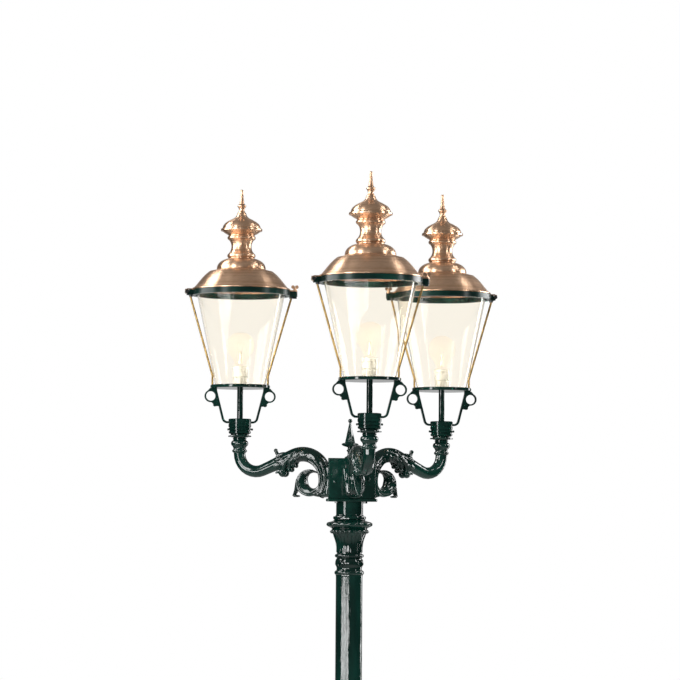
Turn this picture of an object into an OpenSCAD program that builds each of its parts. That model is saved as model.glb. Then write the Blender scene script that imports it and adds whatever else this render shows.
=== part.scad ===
// Three-light post lantern: a tube post with a cast capital, a three-sided hub, three scrolled arms
// and three round glass lanterns with spun hoods that hinge open.
// Z is up. The origin is the middle of the base flange's underside, and the front arm points along -Y.

/* [Post] */
// Outside diameter of the shaft tube
shaft_d = 88.9; // [84:0.1:96]
// Wall of the shaft tube
shaft_wall = 4; // [3:0.5:6]
// Length of the shaft tube
shaft_l = 1381; // [900:1:2200]
// Diameter of the base flange
flange_d = 360; // [330:1:420]
// Thickness of the base flange
flange_t = 16; // [12:1:24]
// Height of the flange's collar round the shaft
collar_h = 62; // [45:1:100]
// Wall of the flange's collar
collar_wall = 9; // [7:0.5:14]
// Pitch circle of the anchor bolts
anchor_pcd = 280; // [240:1:295]
// Diameter of an anchor bolt hole
anchor_hole_d = 18; // [12:1:22]
// Number of anchor bolts
anchor_n = 4; // [3:1:8]
// Diameter of the cable way up through the post
cable_d = 50; // [36:1:54]

/* [Capital] */
// Height of the capital from the shaft's top to the hub plate
capital_h = 248; // [230:1:270]
// Diameter of the capital's neck under the hub plate
neck_d = 90; // [84:1:96]
// Diameter of the widest moulding, which carries the pearls
pearl_ring_d = 152; // [142:1:170]
// Number of pearls
pearl_n = 20; // [12:1:26]
// Diameter of a pearl
pearl_d = 9; // [7:0.5:11]
// Diameter of the bell at its leafy lip
bell_lip_d = 120; // [112:1:128]
// Diameter of the bell at its waist
waist_d = 83; // [80:1:88]
// Number of leaves round the bell
leaf_n = 12; // [8:1:14]
// Length of the plug that enters the shaft
plug_l = 70; // [50:1:100]

/* [Hub] */
// Height of the hub
hub_h = 134; // [126:1:150]
// Width of one of the hub's three faces, over the arms' plates and before the corners are rounded
hub_face_w = 165; // [160:1:174]
// Wall of the hub
hub_wall = 8; // [6:0.5:10]
// Thickness of the plate under the hub
plate_t = 10; // [8:0.5:14]
// How far the plate stands out past the hub
plate_lip = 6; // [3:0.5:9]
// Height of the spire on the hub
spire_h = 132; // [110:1:160]
// Width of the spire's square brim
brim_w = 52; // [40:1:60]

/* [Arms] */
// Distance from the post's axis to a lantern's axis
arm_reach = 400; // [385:1:430]
// Diameter of the arm's plain stretch
arm_d = 40; // [34:1:44]
// Radius of the bend under the lantern
bend_r = 62; // [56:1:70]
// Height of the bend's centre over the hub's underside
bend_z = 153; // [146:1:162]
// Radius of the arch beside the hub
arch_r = 82; // [78:1:86]
// Distance from the hub's face to the arch's centre
arch_out = 122; // [119:1:126]
// Height of the arch's centre over the hub's underside
arch_z = 67; // [62:1:70]
// Depth of the arm at the top of the arch
arch_depth = 50; // [44:1:56]
// Width of the arm where it leaves its plate
foot_w = 63; // [54:1:70]
// Thickness of the plate that the arm ends in, over one whole face of the hub
foot_t = 7; // [6:0.5:9]
// Outside radius of the scroll under the arch
scroll_r = 46; // [44:0.5:47]
// Radius of the scroll's eye
eye_r = 23; // [21:0.5:24]
// Diameter of the spigot that carries a lantern
spigot_d = 48; // [42:1:50]
// Height of the spigot
spigot_h = 45; // [38:1:48]
// Height from the bend's centre to the spigot's shoulder
beads_h = 55; // [50:1:62]

/* [Lantern foot] */
// Diameter of the socket on the spigot
socket_d = 77; // [74:0.5:84]
// Height of the socket
socket_h = 61; // [56:1:66]
// Diameter of the stem from the socket to the gallery
stem_d = 20; // [16:0.5:22]
// Bore of the stem
stem_bore = 13; // [9:0.5:13]
// Height from the socket's top to the gallery's underside
gallery_z = 103; // [96:1:112]
// Height of the gallery's rim
gallery_h = 11; // [9:0.5:14]
// Thickness of the gallery's floor
floor_t = 4; // [3:0.5:5]
// Diameter of the gallery
gallery_d = 202; // [200:1:208]
// Distance between the two tie rods at the gallery
rod_low_w = 189; // [187:1:191]
// Thickness of a side bracket's bar, seen from the front
bracket_bar = 7; // [5:0.5:8]
// Width of a side bracket, front to back
bracket_w = 12; // [11:0.5:16]
// Diameter of the finger hole in a side bracket's ring
ring_hole_d = 32; // [28:0.5:33]

/* [Glass and lamp] */
// Diameter of the glass at its foot
glass_low_d = 168; // [160:1:172]
// Diameter of the glass at its mouth
glass_top_d = 301; // [294:1:303]
// Height of the glass
glass_h = 317; // [290:1:340]
// Wall of the glass
glass_wall = 3; // [2.5:0.5:4]
// Thickness of the seal under the glass
seal_t = 3; // [2:0.5:4]
// Diameter of the lampholder
holder_d = 51; // [46:1:56]
// Height of the lampholder
holder_h = 65; // [58:1:70]
// Diameter of the bulb's globe
bulb_d = 95; // [80:1:105]
// Height of the globe's centre over the lampholder's foot
bulb_z = 134; // [124:1:144]

/* [Rim and hinge] */
// Outside diameter of the rim ring
rim_d = 336; // [334:1:340]
// Height of the rim ring
rim_h = 18; // [17:0.5:22]
// Diameter of the tie rods
rod_d = 7; // [6:0.5:7.5]
// Distance between the two tie rods at the rim
rod_top_w = 342; // [341:0.5:343]
// Distance from the lantern's axis to the hinge pin and to the thumb screw
lug_u = 184; // [183.5:0.5:187]
// Width of a lug, front to back
lug_w = 26; // [24:1:30]
// Diameter of the hinge pin
pin_d = 6; // [5:0.5:6.5]
// Height of the hinge pin over the rim ring's underside
pin_z = 11; // [10.5:0.5:11.5]
// Width of the hood's hinge knuckle
knuckle_w = 12; // [10:0.5:13]
// Diameter of the thumb screw's shank
thumb_d = 7; // [6:0.5:7.5]

/* [Hood] */
// Diameter of the hood's rolled edge
hood_d = 334; // [328:1:336]
// Height of the hood from its edge to the chimney's seat
hood_h = 108; // [98:1:115]
// Diameter of the hood's upper dome
dome_d = 166; // [156:1:172]
// Thickness of the hood's sheet
sheet_t = 1.5; // [1.2:0.1:2]
// Height of the chimney
chimney_h = 94; // [82:1:98]
// Diameter of the chimney's beads
chimney_bead_d = 96; // [92:1:100]
// Diameter of the cap's lip
cap_d = 141; // [136:1:148]
// Height of the cap
cap_h = 62; // [56:1:70]
// Height of the finial
finial_h = 80; // [70:1:92]
// Diameter of the finial's knob
finial_d = 30; // [26:1:32]

/* [Clearances] */
// Radial clearance of pieces that slide together
slide_gap = 0.3; // [0.2:0.05:0.5]
// Gap between the hood's parts and the frame that they rest on
seat_gap = 0.3; // [0.2:0.05:0.4]
// Radial clearance of the hinge pin
pin_gap = 0.08; // [0.05:0.01:0.1]

/* [Hidden] */
$fn = 96;
SIDES = ["left", "front", "right"];
ARM_ANGLES = [150, -90, 30];
// The lanterns hinge on the side away from their neighbours
LANTERN_TURNS = [0, 0, 180];
LANTERN_PIECES = ["socket", "brackets", "gallery", "stem", "lampholder", "bulb", "glass", "glass_seal",
    "rim_ring", "tie_rods", "hood", "chimney", "cap", "finial", "thumb_screw"];

GREEN = [0.05, 0.16, 0.13];
COPPER = [0.72, 0.5, 0.38];
BRASS = [0.6, 0.47, 0.25];
STEEL = [0.2, 0.22, 0.22];

// Heights over the ground
shaft_top = flange_t + shaft_l;
hub_z = shaft_top + capital_h + plate_t;
spigot_z = bend_z + beads_h;
lantern_z = hub_z + spigot_z + socket_h;

// Hub: the arms' plates end face_r from the axis, the hub itself core_r, and the corners are rounded
face_r = hub_face_w / (2 * sqrt(3));
core_r = face_r - foot_t;
plate_corner_r = 2 * face_r - 4;
corner_r = 2 * core_r - 6;
boss_r = 8;
boss_u = corner_r - 2 * hub_wall - boss_r / 2;
m6_r = 3;
m8_r = 4;
spire_stud_r = 5;
plate_screw_depth = 20;
// The two bolts of an arm stand at unlike heights, so that they pass the next arm's inside the corner
bolt_y = 0.343 * hub_face_w;
bolt_z = 0.444 * hub_h;
bolt_step = 4;
screw_z = 26 - socket_h;
screw_r = 2.4;

// Arm path: the bend and the arch are arcs, and the run between them is their common tangent
bend_c = [arm_reach - bend_r, bend_z];
arch_c = [face_r + arch_out, arch_z];
centres = arch_c - bend_c;
run_a = atan2(centres.y, centres.x) + 360 - asin((bend_r + arch_r) / norm(centres));
run_from = bend_c + bend_r * dir(run_a + 90);
run_to = arch_c + arch_r * dir(run_a - 90);
arch_end = 214;
// Scroll: the space between its outside and its eye, which lies off its centre
scroll_c = arch_c - [24.8, 14.3];
eye_off = [-15.9, 5.3];
scroll_from = 192;
scroll_to = 490;

// Lantern heights over the socket's top
floor_z = gallery_z + floor_t;
nut_t = 6;
holder_z = floor_z + nut_t;
glass_z = floor_z + seal_t;
glass_top = glass_z + glass_h;
rim_lip = 7.5;
rim_top = glass_top + seat_gap + rim_lip;
rim_z = rim_top - rim_h;
hood_z = rim_top + seat_gap;
chimney_z = hood_z + hood_h;
cap_z = chimney_z + chimney_h;
finial_z = cap_z + cap_h;
hinge_z = rim_z + pin_z;
rod_low_z = gallery_z - 7;
rod_top_z = rim_top - 6;
glass_low_r = glass_low_d / 2;
glass_top_r = glass_top_d / 2;
rim_in = glass_top_r + 3;
knuckle_r = pin_d / 2 + 3.5;
thumb_hole_r = thumb_d / 2 + 2 * slide_gap;
bulb_cap_r = 13.2;
bulb_neck_z = holder_h - 22;
tab_t = 4;
pocket_u = 30;
leg_z = -12;
// Heights at which the outlines of the spun pieces are drawn before they are scaled
drawn_hood_h = 105;
drawn_chimney_h = 88;
drawn_cap_h = 62;
drawn_finial_h = 80;

// Unit vector at an angle, in a piece's own plane
function dir(a) = [cos(a), sin(a)];
// Points along an arc about c from angle a to angle b
function arc(c, r, a, b, n = 6) = [for (i = [0:n]) c + r * dir(a + (b - a) * i / n)];
// Points along a cubic curve
function curve(a, b, c, d, n = 8) = [for (i = [0:n]) let (t = i / n, s = 1 - t)
    s * s * s * a + 3 * s * s * t * b + 3 * s * t * t * c + t * t * t * d];
// Inward normal of an upward outline at point i: level at its foot, and top at its other end
function inward(p, i, top) = i == 0 ? [-1, 0] : i == len(p) - 1 ? top
    : let (d = p[i + 1] - p[i - 1]) [-d.y, d.x] / norm(d);
// Closed outline of a sheet of thickness t inside an outline that runs upward
function sheet(p, t, top = [-1, 0]) = concat(p, [for (i = [len(p) - 1:-1:0]) p[i] + t * inward(p, i, top)]);
// Smooth step from 0 to 1
function ease(t) = let (c = min(max(t, 0), 1)) c * c * (3 - 2 * c);

// A ring of section points: centre, path angle, depth in the arm's plane, width and rib height
function section(p, a, depth, width, rib = 0, n = 14) = [for (k = [0:n - 1])
    let (f = 360 * k / n, m = 1 - rib * (k % 2), rise = depth / 2 * m * cos(f))
    [p.x - rise * sin(a), width / 2 * m * sin(f), p.y + rise * cos(a)]];

// Solid through rings of points
module loft(rings) {
    n = len(rings[0]);
    last = (len(rings) - 1) * n;
    walls = [for (i = [0:len(rings) - 2]) for (k = [0:n - 1])
        let (a = i * n + k, b = i * n + (k + 1) % n) [a, b, b + n, a + n]];
    polyhedron([for (r = rings) for (p = r) p],
        concat(walls, [[for (k = [n - 1:-1:0]) k], [for (k = [0:n - 1]) last + k]]));
}

// Stands the children up: their Y becomes height, and they are centred in a thickness t
module upright(t) {
    translate([0, t / 2, 0]) rotate([90, 0, 0]) linear_extrude(t) children();
}

module hexagon(across, h) {
    cylinder(d = across / cos(30), h = h, $fn = 6);
}

// Copies at the four corners, feet or faces of a round
module around(n, r, from = 0) {
    for (i = [0:n - 1]) rotate(from + 360 * i / n) translate([r, 0, 0]) children();
}

module on_arm(i) {
    rotate(ARM_ANGLES[i]) translate([arm_reach, 0, lantern_z])
        rotate(LANTERN_TURNS[i] - ARM_ANGLES[i]) children();
}

module base_flange() {
    seat_r = shaft_d / 2 + slide_gap;
    out_r = seat_r + collar_wall;
    top = flange_t + collar_h;
    color(GREEN) difference() {
        rotate_extrude() polygon(concat(
            [[cable_d / 2, 0], [flange_d / 2 - 3, 0], [flange_d / 2, 3], [flange_d / 2, flange_t - 3],
            [flange_d / 2 - 3, flange_t]],
            curve([out_r + 18, flange_t], [out_r + 8, flange_t], [out_r, flange_t + 6], [out_r, flange_t + 18], 5),
            [[out_r, top - 12]],
            arc([out_r - 1, top - 6], 6, -90, 90, 6),
            [[seat_r, top], [seat_r, flange_t], [cable_d / 2, flange_t]]));
        around(anchor_n, anchor_pcd / 2, 45) translate([0, 0, -1]) cylinder(d = anchor_hole_d, h = flange_t + 2);
    }
}

module shaft() {
    color(GREEN) translate([0, 0, flange_t]) difference() {
        cylinder(d = shaft_d, h = shaft_l);
        translate([0, 0, -1]) cylinder(r = shaft_d / 2 - shaft_wall, h = shaft_l + 2);
    }
}

// One leaf of the capital's bell, following the bell's curve and curling out at its tip
module bell_leaf(bell_z, lip_z) {
    waist_r = waist_d / 2;
    lip_r = bell_lip_d / 2;
    path = curve([waist_r - 1, 0, bell_z], [waist_r - 1, 0, bell_z + 30], [waist_r + 3, 0, lip_z - 18],
        [lip_r - 2, 0, lip_z], 3);
    sizes = [2.6, 5, 7, 4.5];
    for (i = [0:len(path) - 2]) hull() for (j = [i, i + 1]) translate(path[j])
        for (y = [-0.7, 0.7]) translate([0, y * sizes[j], 0]) sphere(r = sizes[j] * 0.6, $fn = 6);
}

module capital() {
    neck_r = neck_d / 2;
    waist_r = waist_d / 2;
    lip_r = bell_lip_d / 2;
    wide_r = pearl_ring_d / 2;
    shaft_r = shaft_d / 2;
    plug_r = shaft_r - shaft_wall - slide_gap;
    way_r = cable_d / 2;
    bell_z = 80;
    lip_z = 142;
    wide_z = capital_h - 75;
    color(GREEN) translate([0, 0, shaft_top]) union() {
        rotate_extrude($fn = 32) polygon(concat(
            [[way_r, -plug_l], [plug_r, -plug_l], [plug_r, 0], [shaft_r, 0], [shaft_r, 6]],
            arc([shaft_r, 12], 5, -60, 60, 2),
            [[waist_r, 22], [waist_r, 30], [waist_r + 4, 40], [waist_r + 4, 50], [waist_r, 60]],
            arc([waist_r + 2, 69], 5, -60, 60, 2),
            curve([waist_r, bell_z], [waist_r, bell_z + 32], [waist_r + 5, lip_z - 20], [lip_r - 3, lip_z], 5),
            [[lip_r + 2, lip_z + 5], [lip_r, lip_z + 14], [wide_r - 9, wide_z - 9]],
            arc([wide_r - 7, wide_z], 5, -60, 60, 2),
            [[neck_r + 13, wide_z + 13], [neck_r + 8, wide_z + 14], [neck_r + 9, wide_z + 24], [neck_r + 2, wide_z + 27],
            [neck_r, wide_z + 32], [neck_r, capital_h], [way_r + 6, capital_h], [way_r + 6, capital_h + plate_t - 2],
            [way_r, capital_h + plate_t - 2]]));
        around(leaf_n, 0) bell_leaf(bell_z, lip_z + 6);
        around(pearl_n, wide_r - pearl_d / 2) translate([0, 0, wide_z]) sphere(d = pearl_d, $fn = 6);
        around(4, waist_r + 3, 45) translate([0, 0, 45]) rotate([90, 0, 90]) scroll_boss();
    }
}

// Small double curl on the capital's lower band
module scroll_boss() {
    for (s = [-1, 1]) translate([s * 6, -s * 4, -3]) {
        cylinder(r1 = 8, r2 = 6, h = 7, $fn = 10);
        cylinder(r = 2.6, h = 9, $fn = 6);
    }
}

module three_sided(r, round_r, h) {
    intersection() {
        rotate(90) cylinder(r = 2 * r, h = h, $fn = 3);
        cylinder(r = round_r, h = h);
    }
}

module hub_plate() {
    color(GREEN) translate([0, 0, hub_z - plate_t]) difference() {
        three_sided(face_r + plate_lip, plate_corner_r + plate_lip, plate_t);
        translate([0, 0, -1]) cylinder(r = cable_d / 2 + 6 + slide_gap, h = plate_t + 2);
        around(3, boss_u, 90) translate([0, 0, -1]) cylinder(r = m8_r + slide_gap, h = plate_t + 2);
    }
}

// Places at an arm's two bolts, a distance u from the post's axis and turned outwards
module at_bolts(u) {
    for (s = [-1, 1]) translate([u, s * bolt_y, bolt_z + s * bolt_step]) rotate([0, 90, 0]) children();
}

module hub() {
    inner = core_r - hub_wall;
    color(GREEN) translate([0, 0, hub_z]) difference() {
        union() {
            difference() {
                three_sided(core_r, corner_r, hub_h);
                translate([0, 0, -1]) three_sided(inner, corner_r - hub_wall, hub_h - hub_wall + 1);
            }
            around(3, boss_u, 90) cylinder(r = boss_r, h = hub_h - hub_wall / 2);
        }
        around(3, boss_u, 90) translate([0, 0, -1]) cylinder(r = m8_r + slide_gap, h = plate_screw_depth + 1);
        translate([0, 0, hub_h - hub_wall - 1]) cylinder(r = spire_stud_r + slide_gap, h = hub_wall + 2);
        for (a = ARM_ANGLES) rotate(a) at_bolts(core_r - hub_wall + 0.5)
            cylinder(r = m6_r + slide_gap, h = hub_wall + 2);
    }
}

module spire() {
    ball_r = 7;
    brim_z = spire_h * 0.37;
    tip_z = spire_h - ball_r;
    color(GREEN) translate([0, 0, hub_z + hub_h]) {
        rotate_extrude($fn = 48) polygon(concat(
            [[0, -hub_wall - 2], [spire_stud_r, -hub_wall - 2], [spire_stud_r, 0], [18, 0], [18, 4]],
            curve([15, 6], [9, 8], [8, 14], [8, 22], 5),
            [[11, 24], [11, 28], [8, 30], [8, brim_z - 8], [0, brim_z - 8]]));
        rotate(45) translate([0, 0, brim_z - 9]) cylinder(r1 = 10, r2 = brim_w / sqrt(2), h = 10, $fn = 4);
        rotate(45) translate([0, 0, brim_z]) cylinder(r1 = brim_w / 2 * 0.72, r2 = 2.5, h = tip_z - brim_z - 2, $fn = 4);
        translate([0, 0, tip_z]) sphere(r = ball_r);
    }
}

module plate_screws() {
    head_t = 5.5;
    color(STEEL) translate([0, 0, hub_z - plate_t]) around(3, boss_u, 90) {
        cylinder(r = m8_r, h = plate_t + plate_screw_depth - 1);
        translate([0, 0, -head_t]) hexagon(13, head_t);
    }
}

// Round-headed bolts through the arms' plates into the hub
module arm_bolts() {
    head_r = 2 * m6_r;
    color(STEEL) translate([0, 0, hub_z]) for (a = ARM_ANGLES) rotate(a) {
        at_bolts(core_r - hub_wall + 1) cylinder(r = m6_r, h = hub_wall + foot_t);
        at_bolts(face_r) intersection() {
            cylinder(r = head_r, h = head_r);
            translate([0, 0, -head_r * 0.7]) sphere(r = head_r * 1.35);
        }
    }
}

// The arm's main member, from the bead under the lantern to the foot of the arch
function bend_rings() = [for (p = [-8, 0]) section([arm_reach, bend_z - p], -90, arm_d, arm_d),
    for (i = [1:8]) let (a = (run_a - 270) * i / 8)
        section(bend_c + bend_r * dir(a), a - 90, arm_d, arm_d)];
function run_rings() = [for (i = [1:3]) let (t = i / 4, e = ease(t))
    section(run_from + (run_to - run_from) * t, run_a, arm_d + 10 * e, arm_d + 6 * e, 0.06 * e)];
function arch_rings() = [for (i = [0:11]) let (t = i / 11, e = ease(t), a = run_a - 90 + (arch_end - run_a + 90) * t)
    section(arch_c + arch_r * dir(a), a + 90, arch_depth - 13 * e, arm_d + 6 + (foot_w - arm_d - 12) * e, 0.08)];

// A ring of the scroll: its depth is what lies between the scroll's outside and its eye at that angle
function scroll_ring(a) = let (
    t = max((a - 360) / (scroll_to - 360), 0),
    side = eye_off * dir(a),
    eye = side + sqrt(side * side - eye_off * eye_off + eye_r * eye_r),
    depth = (scroll_r - eye) * (1 - 0.6 * t * t))
    section(scroll_c + (scroll_r - depth / 2) * dir(a), a + 90, depth, 42 - 24 * ease(t), 0, 10);

// A tapering limb through balls, given as [x, z, radius] in the arm's plane, at a distance y from it
module limb(balls, y) {
    for (i = [0:len(balls) - 2]) hull() for (b = [balls[i], balls[i + 1]])
        translate([b.x, y, b.y]) sphere(r = b[2], $fn = 8);
}

module arm_leaves() {
    lobes = [[0.82, 0.23, 0.16], [0.53, 0.35, 0.1], [0.33, 0.5, 0.08]] * arch_r;
    for (s = [-1, 1]) {
        // Three lobes hang under the arm
        for (l = lobes) limb([[arch_c.x + l.x, arch_c.y + l.y, l[2]],
            [arch_c.x + l.x - 0.12 * arch_r, arch_c.y + l.y + 0.29 * arch_r, l[2] + 1]], s * 0.15 * arch_r);
        // Folds sweep back over the arch's flank
        for (i = [0:3]) hull() {
            a = 60 + 24 * i;
            for (b = [[a, 0.87, 0.12], [a + 32, 1.16, 0.06]])
                translate([arch_c.x + arch_r * b.y * cos(b.x), s * 0.21 * arch_r, arch_c.y + arch_r * b.y * sin(b.x)])
                    sphere(r = arch_r * b[2], $fn = 6);
        }
    }
    // Knobbed spur on top of the arm, and the leaf tip that hangs from the scroll
    spur = [[0.98, 0.86, 0.12], [1.12, 0.98, 0.075], [1.2, 1.16, 0.08]] * arch_r;
    tip = [[0.72, 0.1, 0.22], [0.86, -0.62, 0.2], [1.22, -0.96, 0.08]] * scroll_r;
    limb([for (b = spur) [arch_c.x + b.x, arch_c.y + b.y, b[2]]], 0);
    limb([for (b = tip) [scroll_c.x + b.x, scroll_c.y + b.y, b[2]]], 0);
}

// Plate over one face of the hub, mitred against the next arms' plates, and the limbs that join it to the arch
module arm_foot() {
    mitre = 60 - atan(slide_gap / 2 / face_r);
    wide = 2 * face_r;
    intersection() {
        translate([core_r, -wide, 0]) cube([foot_t, 2 * wide, hub_h]);
        linear_extrude(hub_h) polygon([[0, 0], 2 * wide * dir(-mitre), 2 * wide * dir(mitre)]);
        cylinder(r = plate_corner_r, h = hub_h);
    }
    steps = 3;
    root = foot_t / 2;
    for (i = [0:steps - 1]) hull() for (j = [i, i + 1]) {
        a = 134 + (arch_end - 134) * j / steps;
        translate([face_r - root, -foot_w / 2, (0.84 - 0.76 * j / steps) * hub_h]) cube([root + 1, foot_w, root]);
        translate([arch_c.x + arch_r * cos(a), 0, arch_c.y + arch_r * sin(a)]) scale([1, 0.9, 1])
            sphere(r = arch_r * (0.26 - 0.05 * j / steps), $fn = 8);
    }
}

module arm_spigot() {
    neck = arm_d / 2;
    translate([arm_reach, 0, spigot_z]) rotate_extrude($fn = 18) polygon(concat(
        [[0, -beads_h], [neck, -beads_h]],
        arc([neck, -beads_h + 7.5], 5, -60, 60, 2),
        arc([neck, -beads_h + 34], 9.6, -75, 75, 3),
        [[neck + 1, -6], [spigot_d / 2 + 5, -4], [spigot_d / 2 + 5, 0], [spigot_d / 2, 0],
        [spigot_d / 2, spigot_h], [0, spigot_h]]));
}

module arm() {
    back = arm_reach / 2;
    rings = 12;
    color(GREEN) translate([0, 0, hub_z]) difference() {
        union() {
            loft(concat(bend_rings(), run_rings(), arch_rings()));
            loft([for (i = [0:rings]) scroll_ring(scroll_from + (scroll_to - scroll_from) * i / rings)]);
            arm_foot();
            arm_leaves();
            arm_spigot();
        }
        // The plate is planed flat and drilled for its two bolts
        translate([core_r - back, -back, -back]) cube([back, 2 * back, 3 * back]);
        at_bolts(core_r - 1) cylinder(r = m6_r + slide_gap, h = foot_t + 2, $fn = 16);
    }
}

module socket() {
    r = socket_d / 2;
    bore = spigot_d / 2 + slide_gap;
    roof = spigot_h + 1 - socket_h;
    ledge_z = leg_z;
    color(GREEN) difference() {
        rotate_extrude() polygon([[bore, -socket_h], [r, -socket_h], [r + 1, 1.5 - socket_h], [r, 4 - socket_h],
            [bore + 6, 5.5 - socket_h], [bore + 6, 9 - socket_h], [r - 3, 11 - socket_h], [r - 1, 13 - socket_h],
            [r - 1, 18 - socket_h], [r - 3.5, 19.5 - socket_h], [r - 3.5, 21.5 - socket_h], [r, 23 - socket_h],
            [r, 29 - socket_h], [r - 2.5, 30.5 - socket_h], [r - 2.5, 32.5 - socket_h], [r, 34 - socket_h],
            [r, -19], [r - 1.2, -18], [r - 1.2, -16], [r, -15], [r, -2], [r - 2, 0], [stem_d / 2 + slide_gap / 2, 0],
            [stem_d / 2 + slide_gap / 2, ledge_z], [stem_bore / 2, ledge_z], [stem_bore / 2, roof], [bore, roof]]);
        for (s = [0, 180]) rotate(s) translate([pocket_u, -bracket_w / 2 - slide_gap, leg_z - bracket_bar / 2 - slide_gap])
            cube([20, bracket_w + 2 * slide_gap, bracket_bar + 2 * slide_gap]);
        around(3, 0, 20) translate([0, 0, screw_z]) rotate([0, 90, 0]) cylinder(r = screw_r + slide_gap, h = r + 5);
    }
}

module set_screws() {
    tip = spigot_d / 2 + 0.1;
    out = socket_d / 2 + 6;
    color(STEEL) for (i = [0:2]) on_arm(i) around(3, 0, 20) translate([0, 0, screw_z]) rotate([0, 90, 0]) {
        translate([0, 0, tip]) cylinder(r = screw_r, h = out - tip);
        translate([0, 0, out]) cylinder(r = screw_r + 1.2, h = 4);
    }
}

module stem() {
    color(GREEN) translate([0, 0, leg_z]) difference() {
        cylinder(d = stem_d, h = holder_z + 5 - leg_z);
        translate([0, 0, -1]) cylinder(d = stem_bore, h = holder_z + 10 - leg_z);
    }
}

module stem_nuts() {
    color(STEEL) for (i = [0:2]) on_arm(i) translate([0, 0, floor_z]) difference() {
        hexagon(1.3 * stem_d, nut_t);
        translate([0, 0, -1]) cylinder(r = stem_d / 2 + slide_gap / 2, h = nut_t + 2);
    }
}

// One side bracket: a slanting leg, a finger ring and a small curl, with a thread for the tie rod
module bracket() {
    rod_u = rod_low_w / 2;
    lean = 14.3;
    bend = 16;
    half = bracket_bar / 2;
    over = gallery_z + 1;
    top_u = rod_u - 10;
    function leg_at(z, off = 0) = [top_u + tan(lean) * (z - gallery_z) + off / cos(lean), z];
    bend_at = [leg_at(leg_z + bend * (1 - sin(lean))).x - bend * cos(lean), leg_z + bend];
    hole_r = ring_hole_d / 2;
    ring_r = hole_r + 5;
    ring_at = [rod_u + 5.3, gallery_z - 27];
    curl_r = 6;
    curl_at = ring_at + [-14.5, -29.5];
    difference() {
        upright(bracket_w) {
            polygon(concat([[pocket_u, leg_z - half]], arc(bend_at, bend + half, -90, -lean),
                [leg_at(over, half), leg_at(over, -half)], arc(bend_at, bend - half, -lean, -90),
                [[pocket_u, leg_z + half]]));
            polygon([[top_u - 5, over], [rod_u + 7, over], ring_at + (ring_r - 1) * dir(42), ring_at,
                leg_at(gallery_z - 33)]);
            polygon([leg_at(gallery_z - 33), ring_at + (ring_r - 1) * dir(-95), curl_at + (curl_r - 1) * dir(20),
                curl_at + (curl_r - 1) * dir(-105), leg_at(gallery_z - 61)]);
            translate(ring_at) circle(r = ring_r);
            translate(curl_at) circle(r = curl_r);
        }
        upright(bracket_w + 2) translate(ring_at) circle(r = hole_r);
        translate([rod_u, 0, rod_low_z]) cylinder(r = rod_d / 2 + slide_gap / 2, h = 20);
        translate([0, -bracket_w, gallery_z]) cube([200, 2 * bracket_w, 20]);
    }
}

module brackets() {
    color(GREEN) around(2, 0) bracket();
}

module gallery() {
    out_r = gallery_d / 2;
    wall_r = rod_low_w / 2 - rod_d / 2 - 2.5;
    top = gallery_z + gallery_h;
    color(GREEN) difference() {
        rotate_extrude() polygon([[stem_d / 2 + slide_gap / 2, gallery_z], [out_r - 2, gallery_z], [out_r, gallery_z + 2],
            [out_r, top - 2], [out_r - 2, top], [wall_r, top], [wall_r, floor_z], [stem_d / 2 + slide_gap / 2, floor_z]]);
        around(2, rod_low_w / 2) translate([0, 0, gallery_z - 1]) cylinder(r = rod_d / 2 + slide_gap / 2, h = gallery_h + 2);
    }
}

module lampholder() {
    r = holder_d / 2;
    hole = stem_d / 2 + slide_gap / 2;
    color([0.93, 0.92, 0.88]) translate([0, 0, holder_z]) rotate_extrude() polygon([[hole, 0], [r - 4, 0], [r - 2, 2],
        [r - 2, holder_h * 0.4], [r, holder_h * 0.45], [r, holder_h - 14], [r - 1.2, holder_h - 13], [r, holder_h - 12],
        [r, holder_h - 1.5], [r - 1.5, holder_h], [20.5, holder_h], [20.5, bulb_neck_z],
        [bulb_cap_r + slide_gap, bulb_neck_z - 4], [bulb_cap_r + slide_gap, 6], [hole, 6]]);
}

module bulb() {
    r = bulb_d / 2;
    color([0.98, 0.95, 0.86]) translate([0, 0, holder_z]) rotate_extrude() polygon(concat(
        [[0, 6 + seat_gap], [12, 6 + seat_gap], [bulb_cap_r, 8], [bulb_cap_r, bulb_neck_z - 3],
        [16, bulb_neck_z + 1], [18, holder_h + 4]],
        curve([19, holder_h + 7], [21, holder_h + 20], [30, bulb_z - r * 0.8], [r * cos(30), bulb_z - r * 0.5], 6),
        arc([0, bulb_z], r, -22, 90, 10)));
}

module glass() {
    low = glass_low_r;
    top = glass_top_r;
    color([0.96, 0.94, 0.88, 0.35]) rotate_extrude() polygon([[low - glass_wall, glass_z], [low, glass_z],
        [top, glass_top], [top - glass_wall, glass_top]]);
}

module glass_seal() {
    color([0.1, 0.1, 0.1]) translate([0, 0, floor_z]) difference() {
        cylinder(r = glass_low_r + 1.5, h = seal_t);
        translate([0, 0, -1]) cylinder(r = glass_low_r - glass_wall - 1.5, h = seal_t + 2);
    }
}

// A tie rod: upright at the gallery, slanting along the glass, and upright again in the rim
module tie_rod() {
    low = rod_low_w / 2;
    high = rod_top_w / 2;
    z1 = gallery_z + 42;
    z2 = rim_z - 8;
    rise = [high - low, z2 - z1];
    translate([low, 0, rod_low_z]) cylinder(d = rod_d, h = z1 - rod_low_z);
    translate([low, 0, z1]) rotate([0, atan2(rise.x, rise.y), 0]) cylinder(d = rod_d, h = norm(rise));
    translate([high, 0, z2]) cylinder(d = rod_d, h = rod_top_z - z2);
    for (p = [[low, z1], [high, z2]]) translate([p.x, 0, p.y]) sphere(d = rod_d * 1.03);
}

module tie_rods() {
    color(BRASS) around(2, 0) tie_rod();
}

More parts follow.
